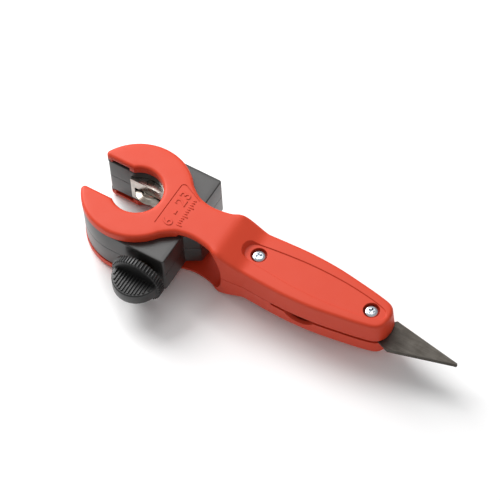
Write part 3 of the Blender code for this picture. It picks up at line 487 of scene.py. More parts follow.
@dataclass
class Slab:
    """Plate with a closed outline, a top that may change height along X, and a rounded rim."""

    outline: list[Point]
    base: float
    top: Callable[[float], float]
    rounding: float
    draft: Callable[[float], float] = lambda x: 0.0
    rim_steps: int = 5
    grid: float = 2.5

    def inward(self) -> list[Vector]:
        """Return the direction in which each outline point moves as the outline shrinks."""
        points = [Vector(point) for point in self.outline]
        result = []
        for index, point in enumerate(points):
            before = (point - points[index - 1]).normalized()
            after = (points[(index + 1) % len(points)] - point).normalized()
            first, second = Vector((-before.y, before.x)), Vector((-after.y, after.x))
            middle = (first + second).normalized()
            result.append(middle / max(middle.dot(first), 0.75))
        return result

    def build(self) -> bpy.types.Object:
        """Build the plate.

        Returns:
            A closed solid with a flat underside at the base height.
        """
        area = sum(x1 * y2 - x2 * y1 for (x1, y1), (x2, y2)
                   in zip(self.outline, self.outline[1:] + self.outline[:1]))
        if area < 0:
            self.outline.reverse()
        inward = self.inward()
        bm = bmesh.new()
        rings = [[bm.verts.new((x, y, self.base)) for x, y in self.outline]]
        for step in range(self.rim_steps + 1):
            turn = math.pi / 2 * step / self.rim_steps
            ring = []
            for (x, y), direction in zip(self.outline, inward):
                inset = self.draft(x) + self.rounding * (1 - math.cos(turn))
                height = self.top(x) - self.rounding * (1 - math.sin(turn))
                ring.append(bm.verts.new((x + direction.x * inset, y + direction.y * inset, height)))
            rings.append(ring)
        for lower, upper in zip(rings, rings[1:]):
            for index in range(len(lower)):
                after = (index + 1) % len(lower)
                bm.faces.new((lower[index], lower[after], upper[after], upper[index]))
        self.cap(bm, rings[-1], self.grid)
        self.cap(bm, rings[0], 0.0)
        return new_object("slab", bm)

    def cap(self, bm: bmesh.types.BMesh, ring: list[bmesh.types.BMVert], grid: float) -> None:
        """Close a ring of points, with a grid of points inside it where grid is above zero."""
        edge = [(vert.co.x, vert.co.y) for vert in ring]
        spots = list(edge)
        if grid:
            low_x, high_x = min(x for x, _ in edge), max(x for x, _ in edge)
            low_y, high_y = min(y for _, y in edge), max(y for _, y in edge)
            for row in range(int((high_y - low_y) / grid)):
                for column in range(int((high_x - low_x) / grid)):
                    x, y = low_x + (column + 0.5) * grid, low_y + (row + 0.5) * grid
                    if inside(edge, x, y) and clearance(edge, x, y) > grid * 0.6:
                        spots.append((x, y))
        result = delaunay_2d_cdt([Vector(spot) for spot in spots], [], [list(range(len(edge)))], 1, 1e-5)
        coords, faces, origins = result[0], result[2], result[3]
        verts: list[bmesh.types.BMVert] = []
        for coord, origin in zip(coords, origins):
            known = [index for index in origin if index < len(ring)]
            verts.append(ring[known[0]] if known else bm.verts.new((coord.x, coord.y, self.top(coord.x))))
        for face in faces:
            if len({verts[index] for index in face}) > 2:
                bm.faces.new([verts[index] for index in face])
        for vert in verts:
            if not vert.link_faces:
                bm.verts.remove(vert)


class Workshop:
    """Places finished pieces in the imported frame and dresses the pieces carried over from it."""

    def __init__(self, frame: dict) -> None:
        """Read where the tool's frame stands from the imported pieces.
        """
        self.nodes = frame["nodes"]
        self.slots = {part["node"]: part["material_slot"] for part in frame["record"]["subparts"]}
        self.finishes = Finishes()
        wheel, upper, lower = (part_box(name) for name in ("cutting_wheel", "upper_shell", "lower_shell"))
        self.origin = Vector(((wheel[0][0] + wheel[1][0]) / 2, (upper[0][1] + upper[1][1]) / 2,
                              (upper[1][2] + lower[0][2]) / 2))
        self.placing = Matrix.Translation(self.origin) @ Matrix.Scale(0.001, 4)

    def finish(self, piece: bpy.types.Object, name: str, body: str,
               looks: Sequence[MouldedPlastic | GroundMetal], replaced: Sequence[str] = (),
               smooth_under: float = 32.0) -> bpy.types.Object:
        """Place, shade, dress and name a piece and let it ride on its body.

        Args:
            piece: Closed solid in the tool's frame, in millimetres.
            name: Name of the piece.
            body: Body that it moves with.
            looks: Finish of each material slot.
            replaced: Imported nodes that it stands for.
            smooth_under: Edges under this angle, in degrees, are shaded smooth.

        Returns:
            The finished piece.
        """
        flatten(piece)
        piece.data.transform(self.placing @ piece.matrix_world)
        piece.matrix_world = Matrix.Identity(4)
        piece.name = piece.data.name = name
        piece.data.materials.clear()
        for look in looks:
            piece.data.materials.append(self.finishes.get(look))
        piece.data.shade_smooth()
        piece.data.set_sharp_from_angle(angle=math.radians(smooth_under))
        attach(piece, body)
        if replaced:
            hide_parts(*replaced)
        LOG.info("%s on %s: %d faces", name, body, len(piece.data.polygons))
        return piece

    def dress(self, look: MouldedPlastic | GroundMetal, *names: str) -> None:
        """Give carried-over pieces a finish, leaving their meshes alone."""
        for name in names:
            node = self.nodes[name]
            if not node.material_slots:
                node.data.materials.append(self.finishes.get(look))
            for slot in node.material_slots:
                slot.material = self.finishes.get(look)


# ------------------------------------------------------------------ repeated shapes

class Repeater:
    """Geometry Nodes tree that puts one shape on every point of a guide and makes it real."""

    def __init__(self, name: str, shape: bpy.types.Object, material: bpy.types.Material) -> None:
        """Build the tree.

        Args:
            name: Name of the tree.
            shape: Object that is repeated.
            material: Material set on the result.
        """
        tree = bpy.data.node_groups.new(name, "GeometryNodeTree")
        sockets = tree.interface
        sockets.new_socket("Geometry", in_out="INPUT", socket_type="NodeSocketGeometry")
        shape_input = sockets.new_socket("Shape", in_out="INPUT", socket_type="NodeSocketObject")
        size_input = sockets.new_socket("Size", in_out="INPUT", socket_type="NodeSocketFloat")
        self.shape_socket, self.size_socket = shape_input.identifier, size_input.identifier
        sockets.new_socket("Geometry", in_out="OUTPUT", socket_type="NodeSocketGeometry")
        start = add_node(tree, "NodeGroupInput")
        shape_info = add_node(tree, "GeometryNodeObjectInfo", {"Object": (start, "Shape")})
        turn = add_node(tree, "GeometryNodeInputNamedAttribute", {"Name": "turn"}, data_type="FLOAT_VECTOR")
        stretch = add_node(tree, "GeometryNodeInputNamedAttribute", {"Name": "stretch"},
                           data_type="FLOAT_VECTOR")
        size = add_node(tree, "ShaderNodeVectorMath", {0: (stretch, "Attribute"), "Scale": (start, "Size")},
                        operation="SCALE")
        copies = add_node(tree, "GeometryNodeInstanceOnPoints",
                          {"Points": (start, "Geometry"), "Instance": (shape_info, "Geometry"),
                           "Rotation": (turn, "Attribute"), "Scale": (size, "Vector")})
        real = add_node(tree, "GeometryNodeRealizeInstances", {"Geometry": (copies, "Instances")})
        dressed = add_node(tree, "GeometryNodeSetMaterial", {"Geometry": (real, "Geometry"),
                                                             "Material": material})
        add_node(tree, "NodeGroupOutput", {"Geometry": (dressed, "Geometry")})
        self.tree = tree
        self.shape = shape

    def run(self, places: Sequence[Place]) -> bpy.types.Object:
        """Repeat the shape.

        Args:
            places: Position, rotation in radians and stretch of every copy.

        Returns:
            One object with all the copies as a plain mesh. The repeated shape is used up.
        """
        mesh = bpy.data.meshes.new(self.tree.name)
        mesh.from_pydata([spot for spot, _, _ in places], [], [])
        for key, column in (("turn", 1), ("stretch", 2)):
            attribute = mesh.attributes.new(key, "FLOAT_VECTOR", "POINT")
            for item, place in zip(attribute.data, places):
                item.vector = place[column]
        guide = link_object(self.tree.name, mesh)
        modifier = guide.modifiers.new("repeat", "NODES")
        modifier.node_group = self.tree
        modifier[self.shape_socket] = self.shape
        modifier[self.size_socket] = 1.0
        flatten(guide)
        bpy.data.objects.remove(self.shape, do_unlink=True)
        return guide


def join(pieces: Sequence[bpy.types.Object]) -> bpy.types.Object:
    """Put several meshes into the first one's object."""
    bm = bmesh.new()
    for piece in pieces:
        part = bmesh.new()
        part.from_mesh(piece.data)
        bmesh.ops.transform(part, matrix=piece.matrix_world, verts=part.verts)
        scratch = bpy.data.meshes.new("scratch")
        part.to_mesh(scratch)
        part.free()
        bm.from_mesh(scratch)
        bpy.data.meshes.remove(scratch)
    for piece in pieces:
        bpy.data.objects.remove(piece, do_unlink=True)
    return new_object("joined", bm)


# ------------------------------------------------------------------ the tool's shared sizes

@dataclass(frozen=True)
class Sizes:
    """Lengths that more than one sub-assembly uses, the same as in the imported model."""

    ring: float = 33.0
    bore: float = 15.4
    mouth_half: float = 11.9
    jaw_round: float = 2.4
    plate_under: float = 14.95
    half_height: float = 20.75
    grip_half_height: float = 14.2
    neck_half_width: float = 12.0
    grip_half_width: float = 17.5
    waist_half_width: float = 16.4
    ramp_start: float = 62.0
    ramp_end: float = 78.5
    end: float = 169.0
    front_screw: float = 82.0
    pivot: float = 156.0
    head: float = 32.7
    head_half_height: float = 14.6
    block_back: float = 37.5
    pocket_right: float = 30.55
    feed: float = 24.5
    wheel_y: float = 13.4
    roller_y: float = -16.9
    knob_sweep: float = 63.024
    slot_floor: float = 2.2
    blade_length: float = 55.4

    def jaw(self, outer: float, count: int = 32) -> tuple[list[Point], float]:
        """Return one side's bore, mouth edge and rounded tip, and the angle where the tip ends."""
        mouth_angle = math.degrees(math.asin(self.mouth_half / self.bore))
        points = arc((0, 0), self.bore, 0, 180 - mouth_angle, count)
        centre_y = self.mouth_half + self.jaw_round
        centre_x = -math.sqrt((outer - self.jaw_round) ** 2 - centre_y ** 2)
        corner = (points[-1][0], self.mouth_half)
        run = [(corner[0] + (centre_x - corner[0]) * share, self.mouth_half) for share in (0.25, 0.5, 0.75)]
        angle = math.degrees(math.atan2(centre_y, centre_x))
        return points + run + arc((centre_x, centre_y), self.jaw_round, 270, angle, 8), angle

    @staticmethod
    def close(inner: list[Point], outer: list[Point]) -> list[Point]:
        """Join the inner and outer runs of a C into one closed loop."""
        upper = list(reversed(outer)) + list(reversed(inner))
        lower = [(x, -y) for x, y in inner[1:]] + [(x, -y) for x, y in outer]
        return upper + [point for point in lower if point[1] < -1e-6]

    def handle(self) -> tuple[list[Point], list[Point]]:
        """Return the inner and outer runs of the handle's outline, at Y above zero."""
        inner, tip = self.jaw(self.ring)
        outer = arc((0, 0), self.ring, tip, 36, 44)[1:]
        waist = self.ramp_end + 1.7
        neck = smooth([outer[-1], (self.ring - 1.2, self.neck_half_width + 3.4),
                       (self.ring + 4, self.neck_half_width + 0.9), (self.ring + 12, self.neck_half_width),
                       (self.ramp_start - 7, self.neck_half_width + 1.8),
                       (self.ramp_start - 1.3, self.grip_half_width - 1.1),
                       (self.ramp_start + 5, self.grip_half_width - 0.1),
                       (waist, self.waist_half_width)], 7)[1:]
        middle = (self.ramp_end + self.pivot) / 2 - 12
        grip = smooth([(waist, self.waist_half_width), (middle, self.grip_half_width),
                       (middle + 20, self.grip_half_width - 0.8),
                       (self.pivot - 13, self.grip_half_width - 3.2),
                       (self.pivot, self.grip_half_width - 5.4), (self.end - 5, self.grip_half_width - 7.6),
                       (self.end - 1.2, self.grip_half_width - 11.6), (self.end, 0)], 8)[1:]
        return inner, outer + neck + grip

    def head_screws(self) -> list[Point]:
        """Return where the head's four screws stand: two in the jaws and two in the block."""
        jaw_x = JAW_SCREW_CIRCLE * math.cos(JAW_SCREW_ANGLE)
        jaw_y = JAW_SCREW_CIRCLE * math.sin(JAW_SCREW_ANGLE)
        corner_x, corner_y = (self.pocket_right + self.block_back) / 2, self.head - CORNER_SCREW_INSET
        return [(jaw_x, jaw_y), (jaw_x, -jaw_y), (corner_x, corner_y), (corner_x, -corner_y)]


# ------------------------------------------------------------------ handle

@dataclass
class HandleShells:
    """The two red shells with their finger recess, border line and size marks."""

    sizes: Sizes
    rounding: float = 2.1
    draft: float = 0.9
    leaf_depth: float = 0.6
    line_width: float = 0.5
    line_depth: float = 0.4
    mark_height: float = 0.45
    counterbore: float = 4.9
    counterbore_depth: float = 3.6
    post: float = 6.4
    screw_hole: float = 2.3
    wall: float = 2.8
    # Inner radius, outer radius and height over the plate or the head of what is let into the plates.
    ratchet_seat: tuple[float, float, float] = (17.7, 28.2, 2.7)
    guide_groove: tuple[float, float, float] = (28.95, 31.45, 1.95)
    bush_hole: float = 3.9
    bush_depth: float = 6.3
    nut_seat: float = 4.45
    nut_depth: float = 3.8

    def top(self, x: float) -> float:
        """Return the height of the shell's top above the seam, with both ends of the ramp eased."""
        sizes, total, reach, count = self.sizes, 0.0, 2.2, 12
        for step in range(count + 1):
            at = x + reach * (2 * step / count - 1)
            share = (at - sizes.ramp_start) / (sizes.ramp_end - sizes.ramp_start)
            share = min(max(share, 0.0), 1.0)
            total += sizes.half_height + (sizes.grip_half_height - sizes.half_height) * share
        return total / (count + 1)

    def side_draft(self, x: float) -> float:
        """Return how far the side wall leans in, from nothing at the ring to its full value."""
        share = min(max((x - 36.0) / 26.0, 0.0), 1.0)
        return self.draft * share * share * (3 - 2 * share)

    def leaf(self) -> list[Point]:
        """Return the outline of the shallow recess along the grip."""
        half = smooth([(73.4, 0.0), (74.3, 3.3), (77.2, 5.4), (85.0, 6.7), (98.0, 8.0), (111.0, 8.8),
                       (124.0, 8.8), (137.0, 8.1), (150.0, 6.5), (159.0, 4.7), (163.4, 2.9),
                       (165.0, 0.0)], 6)
        return half + [(x, -y) for x, y in reversed(half[1:-1])]

    def leaf_cutter(self) -> bpy.types.Object:
        """Return the cutter of the recess, with a sloping wall all round."""
        low, slope, middle = self.sizes.grip_half_height - self.leaf_depth, 5.0, 119.2
        cutter = prism(self.leaf(), low, low + 9.0)
        reach = Vector((45.8, 8.8))
        for vert in cutter.data.vertices:
            lean = slope if vert.co.z > low + 1.0 else 0.0
            vert.co.x += lean * (vert.co.x - middle) / reach.x
            vert.co.y += lean * vert.co.y / reach.y
        return cutter

    def stroke(self, path: Sequence[Point]) -> list[Point]:
        """Return the outline of a line of the shell's line width along a path."""
        half, left, right = self.line_width / 2, [], []
        for index, point in enumerate(path):
            before, after = path[max(index - 1, 0)], path[min(index + 1, len(path) - 1)]
            along = (Vector(after) - Vector(before)).normalized()
            side = Vector((-along.y, along.x)) * half
            left.append((point[0] + side.x, point[1] + side.y))
            right.append((point[0] - side.x, point[1] - side.y))
        return left + list(reversed(right))

    def border(self) -> list[Point]:
        """Return the engraved line round the size marks."""
        corner = arc((23.2, 14.4), 2.0, 178, 66, 8)
        return self.stroke([(21.0, -14.4), (21.1, 0.0), (21.2, 13.0)] + corner + [(30.5, 13.2), (36.4, 10.4)])

    def pocket(self) -> list[Point]:
        """Return the section of the space that the head and its knob sweep inside the handle."""
        start, relief, radius, bulge = self.sizes.head + 4.6, 17.3, self.sizes.knob_sweep + 5.4, 9.0
        wall = [(radius - bulge + bulge * math.cos(math.radians(90 - 7.5 * step)),
                 relief * math.sin(math.radians(90 - 7.5 * step))) for step in range(25)]
        top = [(0.0, self.sizes.plate_under), (start, self.sizes.plate_under), (start, relief)]
        return top + wall + [(radius, -height) for radius, height in reversed(top)]

    def cavity(self) -> list[Point]:
        """Return the outline of the hollow along the grip."""
        start, end = self.sizes.knob_sweep + 10.0, self.sizes.pivot + self.post - 2.0
        side = [(x, y - self.wall) for x, y in self.sizes.handle()[1] if start + 2 < x < end - 2]
        half = [(start, side[0][1])] + side + [(end, side[-1][1] - 2)]
        return half + [(x, -y) for x, y in reversed(half)]

    def half(self, lower: bool) -> bpy.types.Object:
        """Build one shell, with the seam at the bottom, as if it were the upper one.

        Args:
            lower: Whether to add what only the lower shell has.

        Returns:
            The shell above the seam.
        """
        sizes = self.sizes
        shell = Slab(sizes.close(*sizes.handle()), SEAM, self.top, self.rounding, self.side_draft).build()
        inner = sizes.grip_half_height - self.wall
        seat_in, seat_out, seat_rise = self.ratchet_seat
        groove_in, groove_out, groove_rise = self.guide_groove
        seat_top, groove_top = sizes.plate_under + seat_rise, sizes.head_half_height + groove_rise
        tools = [cut(turned(self.pocket(), 128, CUTTER_TURN)),
                 cut(band(seat_in, seat_out, -5, seat_top, 96, 2 * CUTTER_TURN)),
                 cut(band(groove_in, groove_out, -5, groove_top, 96, 3 * CUTTER_TURN)),
                 cut(prism(self.cavity(), -5, inner)),
                 cut(self.leaf_cutter())]
        pivot_face = sizes.slot_floor + 0.3 if lower else 0.45
        for x, face in ((sizes.front_screw, SEAM), (sizes.pivot, pivot_face)):
            tools += [add(rod(self.post, (x, 0, face), (x, 0, sizes.grip_half_height - 1.6))),
                      cut(rod(self.screw_hole, (x, 0, -FAR), (x, 0, FAR), 36))]
        tools.append(cut(rod(self.bush_hole, (sizes.pivot, 0, -1), (sizes.pivot, 0, self.bush_depth), 44)))
        for x in (sizes.front_screw, sizes.pivot):
            if lower:
                floor = sizes.grip_half_height - self.nut_depth
                tools.append(cut(rod(self.nut_seat, (x, 0, floor), (x, 0, FAR), 6)))
            else:
                floor = sizes.grip_half_height - self.counterbore_depth
                tools.append(cut(rod(self.counterbore, (x, 0, floor), (x, 0, FAR), 56)))
        if lower:
            tools += self.blade_slot()
        else:
            tools.append(cut(prism(self.border(), sizes.half_height - self.line_depth, 60)))
        return combine(shell, tools)

    def blade_slot(self) -> list[Tool]:
        """Return the cutters of the blade's slot and thumb notch, in the mirrored lower shell."""
        sizes = self.sizes
        tip = sizes.pivot - sizes.blade_length - 1
        outline = [(tip, -FAR), (FAR, -FAR), (FAR, 9.4), (sizes.pivot, 9.4), (tip, -4.0)]
        radius, x = 13.0, tip + 18.0
        height = sizes.slot_floor + 7.8 - radius
        notch = rod(radius, (x, -sizes.grip_half_width - 8, height), (x, -sizes.grip_half_width + 4, height),
                    72, radius - 3.0)
        return [cut(prism(outline, -0.3, sizes.slot_floor)), cut(notch)]

    def marks(self) -> bpy.types.Object:
        """Build the raised tube range in millimetres; the graduation marks come from ticks."""
        font = bpy.data.curves.new("range_marks", "FONT")
        font.body = "6 - 23"
        font.size = 9.6
        font.offset = 0.12
        font.space_character = 1.1
        font.align_x = "CENTER"
        font.extrude = self.mark_height / 2
        text = link_object("range_marks", font)
        outline_mesh = bpy.data.meshes.new_from_object(
            text.evaluated_get(bpy.context.evaluated_depsgraph_get()))
        bpy.data.objects.remove(text, do_unlink=True)
        letters = link_object("range_marks", outline_mesh)
        place = Matrix.Translation((30.0, 0.0, self.sizes.half_height + self.mark_height / 2 - 0.08))
        letters.data.transform(place @ Matrix.Rotation(math.pi / 2, 4, "Z"))
        bm = bmesh.new()
        bm.from_mesh(letters.data)
        bmesh.ops.remove_doubles(bm, verts=bm.verts, dist=1e-4)
        bm.to_mesh(letters.data)
        bm.free()
        return letters

    def ticks(self, material: bpy.types.Material) -> bpy.types.Object:
        """Build the row of raised graduation marks beside the numbers.

        Args:
            material: Material of the marks.

        Returns:
            The marks as one mesh.
        """
        low = self.sizes.half_height - 0.08
        shape = round_edges(box((-1.7, -0.34, 0), (1.7, 0.34, self.mark_height)), 0.1, 2)
        places = []
        for step in range(12):
            tall = 1.0 if step % 4 == 0 else 0.62
            places.append(((34.2 - 1.7 * (1 - tall), -9.35 + 1.7 * step, low), (0, 0, 0), (tall, 1, 1)))
        return Repeater("graduation", shape, material).run(places)

    def make(self, shop: Workshop) -> None:
        """Build both shells and the size marks."""
        shop.finish(self.half(False), "handle_shell_upper", "handle", [NYLON], ["upper_shell"], 28)
        lower = mirror_down(self.half(True))
        shop.finish(lower, "handle_shell_lower", "handle", [NYLON], ["lower_shell"], 28)
        shop.finish(self.marks(), "range_numbers", "handle", [NYLON])
        shop.finish(self.ticks(shop.finishes.get(NYLON)), "range_graduation", "handle", [NYLON])


# ------------------------------------------------------------------ fasteners

@dataclass
class Fasteners:
    """Pan-head case screws and the head's small screws, each with a cross recess."""

    sizes: Sizes
    case_head: float = 3.95
    case_height: float = 2.2
    small_head: float = 2.2
    small_height: float = 1.4
    counterbore_depth: float = 3.6

    def screw(self, head: float, height: float, shank: float, length: float) -> bpy.types.Object:
        """Build one screw.

        Args:
            head: Radius of the head.
            height: Height of the head.
            shank: Radius of the shank.
            length: Length of the shank.

        Returns:
            The screw with the underside of its head at zero and a tapered cross recess.
        """
        dome = [(0.0, height)]
        for step in range(1, 9):
            turn = math.radians(11.0 * step)
            dome.append((head * math.sin(turn) ** 0.85, height * (0.42 + 0.58 * math.cos(turn) ** 0.7)))
        dome += [(head, height * 0.2), (head * 0.97, 0.0), (shank, 0.0)]
        threads = int((length - shank) / 0.7)
        for thread in range(threads):
            low = -1.0 - 0.7 * thread
            dome += [(shank, low), (shank * 0.86, low - 0.35)]
        dome += [(shank * 0.6, -length), (0.0, -length)]
        tools = []
        for turn in (20, 110):
            arm = prism([(-head * 0.62, -head * 0.17), (head * 0.62, -head * 0.17),
                         (head * 0.62, head * 0.17), (-head * 0.62, head * 0.17)], height * 0.3, height * 2)
            for vert in arm.data.vertices:
                if vert.co.z < height:
                    vert.co.x *= 0.62
            arm.data.transform(Matrix.Rotation(math.radians(turn), 4, "Z"))
            tools.append(cut(arm))
        return combine(turned(dome, 48), tools)

    def make(self, shop: Workshop) -> None:
        """Repeat each kind of screw at its places."""
        sizes = self.sizes
        zinc = shop.finishes.get(ZINC)
        seat = sizes.grip_half_height - self.counterbore_depth + 0.3
        shape = self.screw(self.case_head, self.case_height, 2.0, seat + sizes.grip_half_height - 0.8)
        places = [((x, 0, seat), (0, 0, turn), (1, 1, 1))
                  for x, turn in ((sizes.front_screw, 0.35), (sizes.pivot, 1.2))]
        shop.finish(Repeater("case_screws", shape, zinc).run(places), "case_screws", "handle", [ZINC],
                    ["front_case_screw", "rear_case_screw"])
        low = -sizes.head_half_height + self.small_height + 0.3
        shape = self.screw(self.small_head, self.small_height, 1.2, 19.7)
        places = [((x, y, low), (math.pi, 0, 0.4 * index), (1, 1, 1))
                  for index, (x, y) in enumerate(sizes.head_screws())]
        shop.finish(Repeater("head_screws", shape, zinc).run(places), "head_screws", "head", [ZINC],
                    [f"head_screw_{number}" for number in range(1, 5)])
        shop.dress(ZINC, "front_case_nut", "rear_case_nut")


# ------------------------------------------------------------------ head

@dataclass
class Head:
    """Black two-part head: C body, squared block, rear boss, pockets and guide rib."""

    sizes: Sizes
    rounding: float = 0.7
    block_round: float = 1.6
    # Half height of the carriage's pocket, and the radii and half widths of what is let in beside it.
    pocket_half_height: float = 9.95
    roller_x: float = 7.0
    roller_pocket: float = 5.35
    roller_pin: float = 1.8
    bush_seat: float = 6.15
    bush_hole: float = 5.65
    pawl_half_width: float = 2.75
    spring_hole: float = 3.25
    screw_core: float = 1.5
    screw_seat: float = 2.5

    def outline(self) -> list[Point]:
        """Return the C with its squared block."""
        sizes = self.sizes
        inner, tip = sizes.jaw(sizes.head)
        corner = (sizes.block_back - self.block_round, sizes.head - self.block_round)
        outer = arc((0, 0), sizes.head, tip, 90, 30)[1:]
        outer += [(12.0, sizes.head), (24.0, sizes.head)]
        outer += arc(corner, self.block_round, 90, 0, 6)
        outer += [(sizes.block_back, y) for y in (20.0, 10.0, 0.0)]
        return sizes.close(inner, outer)

    def half(self, lower: bool) -> bpy.types.Object:
        """Build one half above the seam.

        Args:
            lower: Whether to sink the screw heads into it.

        Returns:
            The half, to be mirrored if it is the lower one.
        """
        sizes = self.sizes
        body = Slab(self.outline(), SEAM, lambda x: sizes.head_half_height, self.rounding,
                    rim_steps=4, grid=4.0).build()
        boss = round_edges(prism([(35.5, -11), (37.5, -11), (45.4, -6.4), (46.2, -5.8), (46.2, 5.8),
                                  (45.4, 6.4), (37.5, 11), (35.5, 11)], SEAM, 13.0), 0.5, 3)
        boss = combine(boss, [cut(box((-FAR, -FAR, -5), (FAR, FAR, SEAM)))])
        rib = combine(band(29.3, 31.1, 13.6, 16.2, 120),
                      [cut(box((-FAR, -12.4, -FAR), (0, 12.4, FAR)))])
        pawl_reach = 33.2 + 1.6 + 0.35
        tools = [add(boss), add(rib),
                 cut(box((-12.45, -4.7, -self.pocket_half_height),
                         (sizes.pocket_right, 29.95, self.pocket_half_height))),
                 cut(rod(self.bush_seat, (sizes.feed, -28.7, 0), (sizes.feed, -2.7, 0))),
                 cut(rod(self.bush_hole, (sizes.feed, -FAR, 0), (sizes.feed, -26.7, 0)))]
        roller, side = sizes.roller_y, self.pawl_half_width
        for x in (-self.roller_x, self.roller_x):
            tools += [cut(rod(self.roller_pocket, (x, roller, -9.65), (x, roller, 9.65))),
                      cut(rod(self.roller_pin, (x, roller, -12), (x, roller, 12), 32))]
        tools += [cut(box((sizes.pocket_right, -side, -FAR), (pawl_reach, side, FAR))),
                  cut(box((23.0, -side, 11.15), (pawl_reach, side, FAR))),
                  cut(rod(self.spring_hole, (33.15, 0, 0), (44.8, 0, 0), 36))]
        for x, y in sizes.head_screws():
            core_end = FAR if lower else 7.6
            tools.append(cut(rod(self.screw_core, (x, y, -FAR), (x, y, core_end), 28)))
            if lower:
                tools.append(cut(rod(self.screw_seat, (x, y, 12.6), (x, y, FAR), 36)))
        return combine(body, tools)

    def coil(self) -> bpy.types.Object:
        """Build the pawl's return spring along X, as round wire with flat capped ends."""
        start, end, wire, radius, turns, steps, sides = 33.55, 44.25, 0.35, 2.55, 6, 24, 10
        bm = bmesh.new()
        rings = []
        for step in range(turns * steps + 1):
            turn = 2 * math.pi * step / steps
            middle = Vector((start + (end - start) * step / (turns * steps), radius * math.cos(turn),
                             radius * math.sin(turn)))
            outward = Vector((0, math.cos(turn), math.sin(turn)))
            ring = []
            for side in range(sides):
                angle = 2 * math.pi * side / sides
                offset = Vector((1, 0, 0)) * math.cos(angle) + outward * math.sin(angle)
                ring.append(bm.verts.new(middle + offset * wire))
            rings.append(ring)
        for ring, following in zip(rings, rings[1:]):
            for side in range(sides):
                after = (side + 1) % sides
                bm.faces.new((ring[side], ring[after], following[after], following[side]))
        bm.faces.new(list(reversed(rings[0])))
        bm.faces.new(rings[-1])
        bmesh.ops.recalc_face_normals(bm, faces=bm.faces)
        return new_object("coil", bm)

    def make(self, shop: Workshop) -> None:
        """Build both halves and dress the small pieces inside them."""
        shop.finish(self.half(False), "head_casing_upper", "head", [HEAD_NYLON], ["head_upper"])
        lower = mirror_down(self.half(True))
        shop.finish(lower, "head_casing_lower", "head", [HEAD_NYLON], ["head_lower"])
        shop.dress(BRASS, "feed_nut")
        # The feed bush gets a near-black colour as painted shade for the shaded gap behind the knob.
        shop.dress(PAINTED_SHADE_BUSH, "feed_bush")
        coil = shop.finish(self.coil(), "return_coil", "head", [TURNED_STEEL], ["pawl_spring"], 40)
        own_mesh(coil)
        shop.dress(TURNED_STEEL, "front_roller_pin", "rear_roller_pin", "pawl", "pivot_bush",
                   "upper_ratchet_ring", "lower_ratchet_ring", "front_roller", "rear_roller", "feed_clip")


# ------------------------------------------------------------------ knob and feed screw

